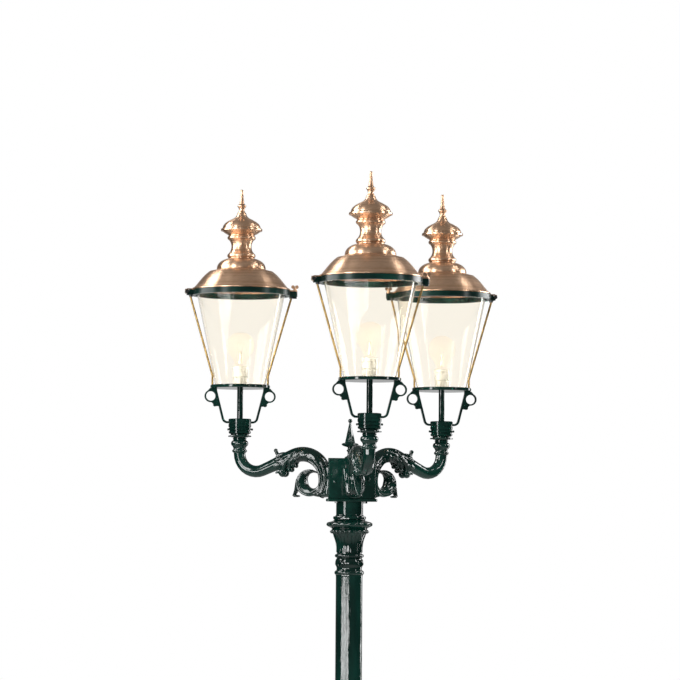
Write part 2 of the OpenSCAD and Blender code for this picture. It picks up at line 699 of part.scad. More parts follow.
module rod_nuts() {
    nut_h = 6;
    color(STEEL) for (i = [0:2]) on_arm(i) around(2, rod_top_w / 2) translate([0, 0, rim_z - nut_h]) difference() {
        rotate(30) hexagon(12, nut_h);
        translate([0, 0, -1]) cylinder(r = rod_d / 2 + slide_gap / 2, h = nut_h + 2);
    }
}

// Ring that holds the glass's mouth, with the thumb screw's lug on one side and the hinge's on the other
module rim_ring() {
    out_r = rim_d / 2;
    slot_u = lug_u - knuckle_r - slide_gap;
    boss_h = 6;
    color(GREEN) difference() {
        union() {
            rotate_extrude($fn = 128) polygon([[rim_in, rim_z], [out_r, rim_z], [out_r, rim_top], [rim_in - 9, rim_top],
                [rim_in - 9, rim_top - rim_lip], [rim_in, rim_top - rim_lip]]);
            translate([rim_in + 4, -lug_w / 2, rim_z]) cube([lug_u - rim_in - 4, lug_w, rim_h]);
            translate([lug_u, 0, rim_z]) cylinder(r = lug_w / 3, h = rim_h);
            translate([lug_u, 0, rim_z - boss_h]) cylinder(r = thumb_d / 2 + 3, h = boss_h + 1);
            translate([-lug_u, -lug_w / 2, rim_z]) cube([lug_u - rim_in - 4, lug_w, pin_z]);
            translate([-slot_u, -lug_w / 2, rim_z]) cube([slot_u - rim_in - 4, lug_w, rim_h]);
            translate([-lug_u, lug_w / 2, hinge_z]) rotate([90, 0, 0]) cylinder(r = knuckle_r, h = lug_w);
        }
        translate([lug_u, 0, rim_z - boss_h - 1]) cylinder(r = thumb_hole_r, h = rim_h + boss_h + 2);
        translate([-lug_u - 20, -knuckle_w / 2 - slide_gap, rim_z - 1])
            cube([20 + knuckle_r + slide_gap, knuckle_w + 2 * slide_gap, rim_h + 2]);
        translate([-lug_u, lug_w, hinge_z]) rotate([90, 0, 0]) cylinder(r = pin_d / 2 + pin_gap, h = 2 * lug_w);
        around(2, rod_top_w / 2) translate([0, 0, rim_z - 1])
            cylinder(r = rod_d / 2 + slide_gap / 2, h = rod_top_z - rim_z + 1);
    }
}

module hinge_pins() {
    head_t = 2.5;
    color(STEEL) for (i = [0:2]) on_arm(i) translate([-lug_u, 0, hinge_z]) rotate([90, 0, 0]) {
        cylinder(d = pin_d, h = lug_w + 0.4, center = true);
        for (s = [-1, 1]) translate([0, 0, s * (lug_w / 2 + 0.2 + head_t / 2)])
            cylinder(r = pin_d / 2 + 2, h = head_t, center = true);
    }
}

// Spun hood: a rolled edge, an ogee skirt, a step and an upper dome
function hood_line() = let (r = hood_d / 2, step_r = dome_d / 2, k = hood_h / drawn_hood_h) concat(
    curve([r - 4, 5 * k], [r - 21, 20 * k], [r - 33, 44 * k], [r - 59, 62 * k], 8),
    [[step_r + 4, 67 * k], [step_r, 69.5 * k]],
    curve([step_r, 73 * k], [step_r - 1, 88 * k], [step_r - 14, 100 * k], [step_r - 37, hood_h], 7),
    [[chimney_bead_d / 2 - 10, hood_h]]);

module hood() {
    r = hood_d / 2;
    tab_r = lug_w / 3;
    color(COPPER) translate([0, 0, hood_z]) difference() {
        union() {
            rotate_extrude($fn = 128) polygon(sheet(hood_line(), sheet_t, [0, -1]));
            rotate_extrude($fn = 128) polygon([[r - 17, 0], [r - 1.5, 0], [r, 1.5], [r, 4], [r - 2, 6], [r - 5, 6],
                [r - 7, 2], [r - 17, 2]]);
            translate([r - 9, -tab_r, 0]) cube([lug_u - r + 9, 2 * tab_r, tab_t]);
            translate([lug_u, 0, 0]) cylinder(r = tab_r, h = tab_t);
            translate([-lug_u, -knuckle_w / 2, 0]) cube([lug_u - r + 9, knuckle_w, tab_t]);
            translate([-lug_u - knuckle_r, -knuckle_w / 2, hinge_z - hood_z])
                cube([knuckle_r, knuckle_w, hood_z - hinge_z + tab_t * 0.5]);
            translate([-lug_u, knuckle_w / 2, hinge_z - hood_z]) rotate([90, 0, 0])
                cylinder(r = knuckle_r, h = knuckle_w);
        }
        translate([lug_u, 0, -1]) cylinder(r = thumb_hole_r, h = tab_t + 2);
        translate([-lug_u, knuckle_w, hinge_z - hood_z]) rotate([90, 0, 0])
            cylinder(r = pin_d / 2 + pin_gap, h = 2 * knuckle_w);
    }
}

// Chimney with a bead above and below its waist, flaring out under the cap
module chimney() {
    bead = chimney_bead_d / 2;
    lip = cap_d / 2 - 5;
    k = chimney_h / drawn_chimney_h;
    color(COPPER) translate([0, 0, chimney_z]) rotate_extrude() polygon(sheet(concat(
        [[bead - 4, 0]],
        arc([bead - 8.5, 9 * k], 8.5, -55, 55, 5),
        curve([bead - 6, 18 * k], [bead - 16, 28 * k], [bead - 17, 46 * k], [bead - 7, 58 * k], 7),
        arc([bead - 7, 66 * k], 7, -60, 60, 5),
        curve([bead - 4, 74 * k], [bead, 78 * k], [lip - 9, 79 * k], [lip, chimney_h], 5)), sheet_t + 0.3));
}

module cap() {
    lip = cap_d / 2;
    k = cap_h / drawn_cap_h;
    stud = 4 + slide_gap / 2;
    color(COPPER) translate([0, 0, cap_z]) {
        rotate_extrude() polygon(sheet(concat(
            curve([lip - 5.5, 6 * k], [lip - 5, 25 * k], [lip - 22.5, 32 * k], [lip - 32.5, 38 * k], 8),
            curve([lip - 36, 39.5 * k], [lip - 44, 43.5 * k], [lip - 53.5, 48 * k], [15.5, cap_h - 3], 6),
            [[14, cap_h], [stud, cap_h]]), sheet_t, [0, -1]));
        rotate_extrude() polygon([[lip - 9, 0], [lip - 1, 0], [lip, 1], [lip, 6], [lip - 2, 8], [lip - 5.5, 8], [lip - 7, 2],
            [lip - 9, 2]]);
    }
}

module finial() {
    knob = finial_d / 2;
    k = finial_h / drawn_finial_h;
    color(COPPER) translate([0, 0, finial_z]) rotate_extrude($fn = 64) polygon(concat(
        [[0, -14], [4, -14], [4, 0], [13, 0], [13, 2 * k]],
        curve([11, 4 * k], [8.5, 6 * k], [8.5, 11 * k], [11.5, 17 * k], 4),
        arc([knob - 4.5, 23.5 * k], 4.5, -60, 60, 5),
        curve([9, 30 * k], [7.5, 36 * k], [5.6, 50 * k], [4.6, 66 * k], 6),
        arc([0, finial_h - 5], 5, -20, 90, 5)));
}

// Captive thumb screw: its shank stands in the lug's thread, its wings over the hood's tab
module thumb_screw() {
    top = hood_z + tab_t + seat_gap;
    wing = 6;
    color(COPPER) translate([lug_u, 0, 0]) {
        translate([0, 0, rim_z]) cylinder(d = thumb_d, h = top - rim_z + 1);
        translate([0, 0, top]) cylinder(r = 6.5, h = 2.5);
        translate([0, 0, top + 2]) cylinder(r1 = 5, r2 = 3.5, h = 7);
        for (s = [-1, 1]) translate([s * 6.5, 1.5, top + 11]) rotate([90, 0, 0]) cylinder(r = wing, h = 3);
        translate([-5, -1.5, top + 4]) cube([10, 3, 5]);
    }
}

base_flange();
shaft();
capital();
hub_plate();
hub();
spire();
plate_screws();
arm_bolts();
set_screws();
stem_nuts();
rod_nuts();
hinge_pins();
for (i = [0:2]) {
    rotate(ARM_ANGLES[i]) arm();
    on_arm(i) socket();
    on_arm(i) brackets();
    on_arm(i) gallery();
    on_arm(i) stem();
    on_arm(i) lampholder();
    on_arm(i) bulb();
    on_arm(i) glass();
    on_arm(i) glass_seal();
    on_arm(i) rim_ring();
    on_arm(i) tie_rods();
    on_arm(i) hood();
    on_arm(i) chimney();
    on_arm(i) cap();
    on_arm(i) finial();
    on_arm(i) thumb_screw();
}
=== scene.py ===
"""Dresses a street lantern post: green castings, spun hoods, brass rods and clear glass, in a plain studio."""

import logging
import math
from dataclasses import dataclass, field
from enum import Enum
from typing import Callable, Iterable, Sequence

import bpy
from mathutils import Matrix, Vector


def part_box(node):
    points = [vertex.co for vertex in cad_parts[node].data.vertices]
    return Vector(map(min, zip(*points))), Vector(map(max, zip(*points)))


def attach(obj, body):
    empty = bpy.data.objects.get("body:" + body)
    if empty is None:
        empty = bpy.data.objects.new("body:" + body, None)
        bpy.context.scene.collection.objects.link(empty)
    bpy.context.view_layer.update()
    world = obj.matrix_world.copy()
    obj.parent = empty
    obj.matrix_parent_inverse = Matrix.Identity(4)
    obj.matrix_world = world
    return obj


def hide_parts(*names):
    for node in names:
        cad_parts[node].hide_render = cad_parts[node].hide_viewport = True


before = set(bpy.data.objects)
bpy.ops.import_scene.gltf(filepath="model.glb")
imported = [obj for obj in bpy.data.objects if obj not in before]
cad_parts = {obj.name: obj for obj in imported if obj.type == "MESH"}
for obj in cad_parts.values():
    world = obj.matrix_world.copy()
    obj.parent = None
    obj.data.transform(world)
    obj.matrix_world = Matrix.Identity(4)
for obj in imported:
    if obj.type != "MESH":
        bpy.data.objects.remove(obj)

MM = 0.001
SHARP = math.radians(30)      # edges that turn more than this are rounded
MERGE = 0.00001               # points nearer than this are one
ARM_TURNS = (30, 150, 270)    # the arms' directions in degrees
log = logging.getLogger("lantern_post")


class Side(Enum):
    """The three arms, by where they point."""

    LEFT = "left"
    FRONT = "front"
    RIGHT = "right"

    @property
    def axis(self) -> Vector:
        """The lantern's axis on the ground plane, in metres, read from its glass."""
        low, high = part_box(f"glass_{self.value}")
        return Vector(((low.x + high.x) / 2, (low.y + high.y) / 2, 0))

    @property
    def turn(self) -> float:
        """The arm's direction round the post, in radians."""
        return math.atan2(self.axis.y, self.axis.x)


def paired(operation: str) -> tuple[Callable, Callable]:
    """An operator's method and its reflected form, which add a Math node."""
    def forward(self: "Wire", other: object) -> "Wire":
        """This value comes first."""
        return self.tree.node("ShaderNodeMath", {"operation": operation}, {0: self, 1: other})

    def reflected(self: "Wire", other: object) -> "Wire":
        """This value comes last."""
        return self.tree.node("ShaderNodeMath", {"operation": operation}, {0: other, 1: self})
    return forward, reflected


class Wire:
    """A value in a node tree, with the arithmetic that adds its Math nodes."""

    def __init__(self, tree: "Tree", socket: bpy.types.NodeSocket) -> None:
        """Wraps one output socket of a tree."""
        self.tree = tree
        self.socket = socket

    __add__, __radd__ = paired("ADD")
    __sub__, __rsub__ = paired("SUBTRACT")
    __mul__, __rmul__ = paired("MULTIPLY")

    def smooth(self, low: float, high: float) -> "Wire":
        """Smooth step of this value from 0 at low to 1 at high."""
        settings = {"interpolation_type": "SMOOTHSTEP"}
        return self.tree.node("ShaderNodeMapRange", settings, {0: self, 1: low, 2: high})


class Tree:
    """A material's or a world's node tree, built from calls that return wires."""

    def __init__(self, tree: bpy.types.NodeTree) -> None:
        """Takes a node tree and empties it."""
        self.tree = tree
        tree.nodes.clear()

    def node(self, kind: str, settings: dict | None = None, inputs: dict | None = None,
             out: int | str = 0) -> Wire | None:
        """Adds a node.

        Args:
            kind: the node's type name.
            settings: its own settings, set first.
            inputs: values or wires, by socket name or number.
            out: the output that is returned.

        Returns:
            The chosen output as a wire, or None for a node without outputs.
        """
        node = self.tree.nodes.new(kind)
        for name, value in (settings or {}).items():
            setattr(node, name, value)
        for name, value in (inputs or {}).items():
            if isinstance(value, Wire):
                self.tree.links.new(value.socket, node.inputs[name])
            else:
                node.inputs[name].default_value = value
        return Wire(self, node.outputs[out]) if node.outputs else None

    def mix(self, share: object, first: object, second: object) -> Wire:
        """Mixes two colours by a share from 0 to 1."""
        settings = {"data_type": "RGBA", "clamp_factor": True}
        return self.node("ShaderNodeMix", settings, {0: share, 6: first, 7: second}, out=2)

    def place(self, centre: Vector | tuple = (0, 0, 0), scale: tuple = (1, 1, 1)) -> Wire:
        """Object coordinates moved so that centre is their origin, then scaled."""
        spot = self.node("ShaderNodeTexCoord", out="Object")
        moved = self.node("ShaderNodeVectorMath", {"operation": "SUBTRACT"}, {0: spot, 1: tuple(centre)})
        return self.stretch(moved, scale)

    def stretch(self, spot: Wire, scale: tuple) -> Wire:
        """A place, scaled along each axis."""
        return self.node("ShaderNodeVectorMath", {"operation": "MULTIPLY"}, {0: spot, 1: scale})

    def noise(self, spot: Wire, scale: float, detail: float = 3.0, rough: float = 0.55) -> Wire:
        """Fractal noise from 0 to 1."""
        inputs = {"Vector": spot, "Scale": scale, "Detail": detail, "Roughness": rough}
        return self.node("ShaderNodeTexNoise", {"noise_dimensions": "3D"}, inputs)

    def bump(self, height: Wire, strength: float, distance: float, normal: Wire | None = None) -> Wire:
        """Bump normal from a height.

        Args:
            height: the height, about 0 to 1.
            strength: how much of the bump shows.
            distance: the depth of the bump in metres.
            normal: a bump that this one is laid over.

        Returns:
            The normal.
        """
        inputs = {"Height": height, "Strength": strength, "Distance": distance}
        if normal:
            inputs["Normal"] = normal
        return self.node("ShaderNodeBump", None, inputs)

    def finish(self, settings: dict) -> None:
        """Ends the tree with a Principled shader with these socket values."""
        shader = self.node("ShaderNodeBsdfPrincipled", None, settings)
        self.node("ShaderNodeOutputMaterial", None, {"Surface": shader})


def rgb(red: float, green: float, blue: float) -> tuple[float, float, float, float]:
    """A colour from its screen values, 0 to 255, as linear light."""
    def linear(value: float) -> float:
        """One channel."""
        share = value / 255
        return share / 12.92 if share <= 0.04045 else ((share + 0.055) / 1.055) ** 2.4
    return (linear(red), linear(green), linear(blue), 1.0)


def new_tree(name: str) -> tuple[bpy.types.Material, Tree]:
    """A new material and its empty tree."""
    material = bpy.data.materials.new(name)
    material.use_nodes = True
    return material, Tree(material.node_tree)


@dataclass(frozen=True)
class Finish:
    """A named finish, which its subclasses give as a Principled shader's sockets."""

    name: str

    def sockets(self, tree: Tree) -> dict:
        """Adds the finish's nodes and returns values and wires by the name of their socket."""
        raise NotImplementedError

    def build(self) -> bpy.types.Material:
        """Builds the material."""
        material, tree = new_tree(self.name)
        tree.finish(self.sockets(tree))
        return material


@dataclass(frozen=True)
class GreenPaint(Finish):
    """Thick dark-green gloss paint, flowing over the skin of a casting or drawn down a tube."""

    ripple: float
    grain: float
    stretch: float = 1.0
    runs: float = 0.0
    rough: float = 0.03
    shine: float = 0.5
    deep: tuple = rgb(7, 35, 30)
    pale: tuple = rgb(17, 62, 53)

    def sockets(self, tree: Tree) -> dict:
        """Gives the shader's sockets."""
        spot = tree.place(scale=(1, 1, self.stretch))
        cloud = tree.noise(spot, 9, 3)
        flow = tree.noise(spot, 42, 2, 0.4)
        skin = tree.noise(spot, 420, 2)
        colour = tree.mix(cloud.smooth(0.35, 0.7), self.deep, self.pale)
        normal = tree.bump(flow, 1.0, self.ripple * MM)
        normal = tree.bump(skin, 1.0, self.grain * MM, normal)
        if self.runs:
            drips = tree.noise(tree.place(scale=(1, 1, 0.07)), 150, 3, 0.6)
            normal = tree.bump(drips, 1.0, self.runs * MM, normal)
        return {
            "Base Color": colour,
            "Roughness": self.rough + 0.06 * cloud,
            "Normal": normal,
            "Specular IOR Level": self.shine,
        }


@dataclass(frozen=True)
class SpunCopper(Finish):
    """Copper sheet spun on a lathe: fine rings, light browning in bands and clouds, and soft fingering."""

    centre: Vector
    bright: tuple = rgb(228, 190, 158)
    brown: tuple = rgb(188, 148, 116)

    def sockets(self, tree: Tree) -> dict:
        """Gives the shader's sockets."""
        spot = tree.place((self.centre.x, self.centre.y, 0))
        level = tree.stretch(spot, (1, 1, 0))
        radius = tree.node("ShaderNodeVectorMath", {"operation": "LENGTH"}, {0: level}, out=1)
        height = tree.node("ShaderNodeSeparateXYZ", None, {0: spot}, out=2)
        rings = tree.node("ShaderNodeCombineXYZ", None, {0: radius, 2: height})
        fine = tree.noise(rings, 1500, 2)
        bands = tree.noise(rings, 120, 3)
        cloud = tree.noise(spot, 14, 4, 0.6)
        streak = tree.noise(tree.stretch(spot, (1, 1, 9)), 60, 3)
        tone = 0.45 * bands + 0.3 * cloud + 0.25 * streak
        clean = tone.smooth(0.36, 0.64)
        return {
            "Base Color": tree.mix(clean, self.brown, self.bright),
            "Metallic": 0.72 + 0.16 * clean,
            "Roughness": 0.24 + 0.07 * bands + 0.07 * cloud,
            "Anisotropic": 0.8,
            "Anisotropic Rotation": 0.25,
            "Normal": tree.bump(fine, 1.0, 0.01 * MM, tree.bump(bands, 1.0, 0.04 * MM)),
        }


@dataclass(frozen=True)
class DrawnMetal(Finish):
    """Drawn or turned metal with fine lines along or round it."""

    colour: tuple
    dull: tuple
    rough: float
    lines: float = 900.0

    def sockets(self, tree: Tree) -> dict:
        """Gives the shader's sockets."""
        spot = tree.place(scale=(1, 1, 0.12))
        lines = tree.noise(spot, self.lines, 2)
        cloud = tree.noise(tree.place(), 45, 4)
        return {
            "Base Color": tree.mix(cloud.smooth(0.35, 0.7), self.dull, self.colour),
            "Metallic": 1.0,
            "Roughness": self.rough + 0.14 * cloud,
            "Normal": tree.bump(lines, 1.0, 0.006 * MM),
        }


@dataclass(frozen=True)
class ClearGlass(Finish):
    """Blown glass with a faint tint and slow waves in its thickness."""

    tint: tuple
    wave: float
    ior: float = 1.18

    def sockets(self, tree: Tree) -> dict:
        """Gives the shader's sockets."""
        waves = tree.noise(tree.place(scale=(1, 1, 0.4)), 11, 2, 0.4)
        smear = tree.noise(tree.place(scale=(1, 1, 0.25)), 30, 3)
        return {
            "Base Color": self.tint,
            "Roughness": 0.004 + 0.02 * smear.smooth(0.62, 0.8),
            "IOR": self.ior,
            "Transmission Weight": 1.0,
            "Normal": tree.bump(waves, 1.0, self.wave * MM),
        }


@dataclass(frozen=True)
class FrostedBulb(Finish):
    """The faint warm skin of a frosted bulb that isn't lit."""

    colour: tuple = rgb(226, 184, 118)
    pale: tuple = rgb(232, 204, 152)

    def sockets(self, tree: Tree) -> dict:
        """Gives the shader's sockets."""
        cloud = tree.noise(tree.place(), 12, 3)
        return {
            "Base Color": tree.mix(cloud.smooth(0.35, 0.65), self.colour, self.pale),
            "Roughness": 0.2 + 0.1 * cloud,
            "Alpha": 0.04 + 0.07 * cloud,
            "Specular IOR Level": 0.2,
        }


@dataclass(frozen=True)
class Glazed(Finish):
    """Glazed porcelain, or another smooth fired skin."""

    colour: tuple
    shade: tuple
    rough: float = 0.16

    def sockets(self, tree: Tree) -> dict:
        """Gives the shader's sockets."""
        cloud = tree.noise(tree.place(), 70, 3)
        return {
            "Base Color": tree.mix(cloud.smooth(0.3, 0.75), self.shade, self.colour),
            "Roughness": self.rough + 0.1 * cloud,
            "Coat Weight": 0.6,
            "Coat Roughness": 0.05,
            "Normal": tree.bump(cloud, 1.0, 0.06 * MM),
        }


@dataclass(frozen=True)
class Rubber(Finish):
    """Matt black seal rubber with a fine moulded grain."""

    colour: tuple = rgb(24, 24, 24)
    worn: tuple = rgb(40, 39, 37)

    def sockets(self, tree: Tree) -> dict:
        """Gives the shader's sockets."""
        grain = tree.noise(tree.place(), 700, 3)
        return {
            "Base Color": tree.mix(grain.smooth(0.4, 0.7), self.colour, self.worn),
            "Roughness": 0.7 + 0.15 * grain,
            "Normal": tree.bump(grain, 1.0, 0.05 * MM),
        }


@dataclass(frozen=True)
class Station:
    """One ring of a swept form: its centre, the path's heading in the XZ plane, and its two diameters in mm."""

    x: float
    z: float
    heading: float
    depth: float
    width: float
    y: float = 0.0


def direction(degrees: float) -> Vector:
    """Unit vector in the XZ plane at an angle from +X towards +Z, as a 2D vector."""
    return Vector((math.cos(math.radians(degrees)), math.sin(math.radians(degrees))))


def arc(middle: tuple, radii: tuple, angles: Iterable[float]) -> list[tuple[float, float]]:
    """Points of an oval at angles in degrees."""
    return [(middle[0] + radii[0] * math.cos(math.radians(a)), middle[1] + radii[1] * math.sin(math.radians(a)))
            for a in angles]


def ease(share: float) -> float:
    """Smooth step from 0 to 1."""
    share = min(max(share, 0.0), 1.0)
    return share * share * (3 - 2 * share)


class Bench:
    """The modelling tools, used as by hand, in millimetres until a form is placed."""

    @staticmethod
    def clear() -> None:
        """Leaves edit mode and deselects everything."""
        if bpy.context.object and bpy.context.object.mode != "OBJECT":
            bpy.ops.object.mode_set(mode="OBJECT")
        bpy.ops.object.select_all(action="DESELECT")

    @staticmethod
    def edit(mode: str = "VERT") -> None:
        """Opens the active object for editing, with everything selected."""
        bpy.ops.object.mode_set(mode="EDIT")
        bpy.ops.mesh.select_mode(type=mode)
        bpy.ops.mesh.select_all(action="SELECT")

    @classmethod
    def take(cls, piece: bpy.types.Object) -> None:
        """Makes one object the only selected and the active one."""
        cls.clear()
        piece.select_set(True)
        bpy.context.view_layer.objects.active = piece

    @staticmethod
    def tilt(degrees: float, centre: Vector) -> None:
        """Turns the selected points about a line along Y through a centre."""
        bpy.ops.transform.rotate(value=math.radians(degrees), orient_axis="Y", center_override=centre)

    @classmethod
    def sweep(cls, name: str, stations: Sequence[Station], sides: int = 12) -> bpy.types.Object:
        """Extrudes an oval ring along stations.

        Args:
            name: the new object's name.
            stations: the rings, in order.
            sides: the number of points in a ring.

        Returns:
            The closed form.
        """
        cls.clear()
        first = stations[0]
        bpy.ops.mesh.primitive_circle_add(vertices=sides, radius=0.5, fill_type="NGON", location=(0, 0, 0))
        piece = bpy.context.object
        piece.name = name
        cls.edit("FACE")
        here = Vector((first.x, first.y, first.z))
        bpy.ops.transform.resize(value=(first.depth, first.width, 1))
        cls.tilt(first.heading - 90, Vector())
        bpy.ops.transform.translate(value=here)
        for last, ring in zip(stations, stations[1:]):
            there = Vector((ring.x, ring.y, ring.z))
            bpy.ops.mesh.extrude_region_move(TRANSFORM_OT_translate={"value": there - here})
            here = there
            cls.tilt(90 - last.heading, here)
            size = (ring.depth / last.depth, ring.width / last.width, 1)
            bpy.ops.transform.resize(value=size, center_override=here)
            cls.tilt(ring.heading - 90, here)
        cls.outward()
        return piece

    @classmethod
    def outward(cls) -> None:
        """Merges doubles, turns all faces outwards and leaves edit mode."""
        bpy.ops.mesh.select_all(action="SELECT")
        bpy.ops.mesh.remove_doubles(threshold=MERGE)
        bpy.ops.mesh.normals_make_consistent(inside=False)
        bpy.ops.object.mode_set(mode="OBJECT")

    @classmethod
    def lathe(cls, name: str, outline: Sequence[tuple], steps: int = 72) -> bpy.types.Object:
        """Spins an outline of (radius, height) points about the Z axis."""
        cls.clear()
        bpy.ops.mesh.primitive_plane_add(size=1, location=(0, 0, 0))
        piece = bpy.context.object
        piece.name = name
        cls.edit()
        bpy.ops.mesh.merge(type="CENTER")
        bpy.ops.transform.translate(value=(outline[0][0], 0, outline[0][1]))
        for last, point in zip(outline, outline[1:]):
            step = (point[0] - last[0], 0, point[1] - last[1])
            bpy.ops.mesh.extrude_region_move(TRANSFORM_OT_translate={"value": step})
        bpy.ops.mesh.select_all(action="SELECT")
        bpy.ops.mesh.spin(steps=steps, angle=2 * math.pi, center=(0, 0, 0), axis=(0, 0, 1))
        cls.outward()
        return piece

    @classmethod
    def ball(cls, name: str, centre: tuple, radii: tuple) -> bpy.types.Object:
        """A ball stretched to three radii."""
        cls.clear()
        bpy.ops.mesh.primitive_ico_sphere_add(subdivisions=3, radius=1, location=(0, 0, 0))
        piece = bpy.context.object
        piece.name = name
        cls.edit()
        bpy.ops.transform.resize(value=radii)
        bpy.ops.transform.translate(value=centre)
        bpy.ops.object.mode_set(mode="OBJECT")
        return piece

    @classmethod
    def block(cls, name: str, low: tuple, high: tuple, bevel: float) -> bpy.types.Object:
        """A block between two corners, with its edges bevelled."""
        cls.clear()
        bpy.ops.mesh.primitive_cube_add(size=1, location=(0, 0, 0))
        piece = bpy.context.object
        piece.name = name
        cls.edit("EDGE")
        size = Vector(high) - Vector(low)
        bpy.ops.transform.resize(value=size)
        bpy.ops.transform.translate(value=(Vector(high) + Vector(low)) / 2)
        if bevel:
            bpy.ops.mesh.bevel(offset=bevel, segments=2)
        cls.outward()
        return piece

    @classmethod
    def cut(cls, piece: bpy.types.Object, away: Vector, reach: float = 0.0) -> None:
        """Cuts off what lies further than reach along the unit vector away, and closes the cut."""
        cls.take(piece)
        cls.edit()
        bpy.ops.mesh.bisect(plane_co=away * reach, plane_no=away, use_fill=True, clear_outer=True)
        cls.outward()

    @classmethod
    def soften(cls, piece: bpy.types.Object, width: float, segments: int = 3) -> None:
        """Rounds the edges of a form."""
        cls.take(piece)
        bevel = piece.modifiers.new("soft", "BEVEL")
        bevel.width = width
        bevel.segments = segments
        bevel.limit_method = "ANGLE"
        bevel.angle_limit = SHARP
        bpy.ops.object.modifier_apply(modifier="soft")

    @classmethod
    def turn(cls, piece: bpy.types.Object, angle: float) -> None:
        """Turns a form about the Z axis."""
        piece.data.transform(Matrix.Rotation(angle, 4, "Z"))

    @classmethod
    def join(cls, name: str, pieces: Iterable[bpy.types.Object]) -> bpy.types.Object:
        """Joins pieces into one object."""
        pieces = list(pieces)
        cls.clear()
        for piece in pieces:
            piece.select_set(True)
        bpy.context.view_layer.objects.active = pieces[0]
        bpy.ops.object.join()
        pieces[0].name = name
        return pieces[0]

    @classmethod
    def fuse(cls, piece: bpy.types.Object, voxel: float, rounds: int) -> None:
        """Fuses overlapping forms into one skin, with soft inner corners as on a casting."""
        cls.take(piece)
        remesh = piece.modifiers.new("skin", "REMESH")
        remesh.mode = "VOXEL"
        remesh.voxel_size = voxel
        bpy.ops.object.modifier_apply(modifier="skin")
        soften = piece.modifiers.new("soften", "SMOOTH")
        soften.factor = 0.5
        soften.iterations = rounds
        bpy.ops.object.modifier_apply(modifier="soften")

    @classmethod
    def copy(cls, piece: bpy.types.Object, name: str, turn: float) -> bpy.types.Object:
        """Copies a piece with a mesh of its own, which is turned about Z."""
        made = piece.copy()
        made.data = piece.data.copy()
        made.name = name
        bpy.context.scene.collection.objects.link(made)
        cls.turn(made, turn)
        return made

    @classmethod
    def settle(cls, piece: bpy.types.Object, shift: Vector, angle: float = 35.0) -> None:
        """Brings a piece from millimetres to its place in metres and shades it smooth up to an angle."""
        piece.data.transform(Matrix.Translation(shift) @ Matrix.Scale(MM, 4))
        cls.take(piece)
        bpy.ops.object.shade_smooth_by_angle(angle=math.radians(angle))
        even = piece.modifiers.new("even", "WEIGHTED_NORMAL")
        even.keep_sharp = True
        bpy.ops.object.modifier_apply(modifier="even")


def bow(a: tuple, b: tuple, c: tuple, sizes: Sequence[tuple[float, float]]) -> list[Station]:
    """Stations of a short tendril along a quadratic curve.

    Args:
        a: first point, (x, y, z).
        b: control point.
        c: last point.
        sizes: (depth, width) of each ring.

    Returns:
        One station for each size.
    """
    first, control, last = Vector(a), Vector(b), Vector(c)
    count = len(sizes) - 1
    stations = []
    for i, (depth, width) in enumerate(sizes):
        t = i / count
        spot = first.lerp(control, t).lerp(control.lerp(last, t), t)
        run = (control - first).lerp(last - control, t)
        heading = math.degrees(math.atan2(run.z, run.x))
        stations.append(Station(spot.x, spot.z, heading, depth, width, spot.y))
    return stations


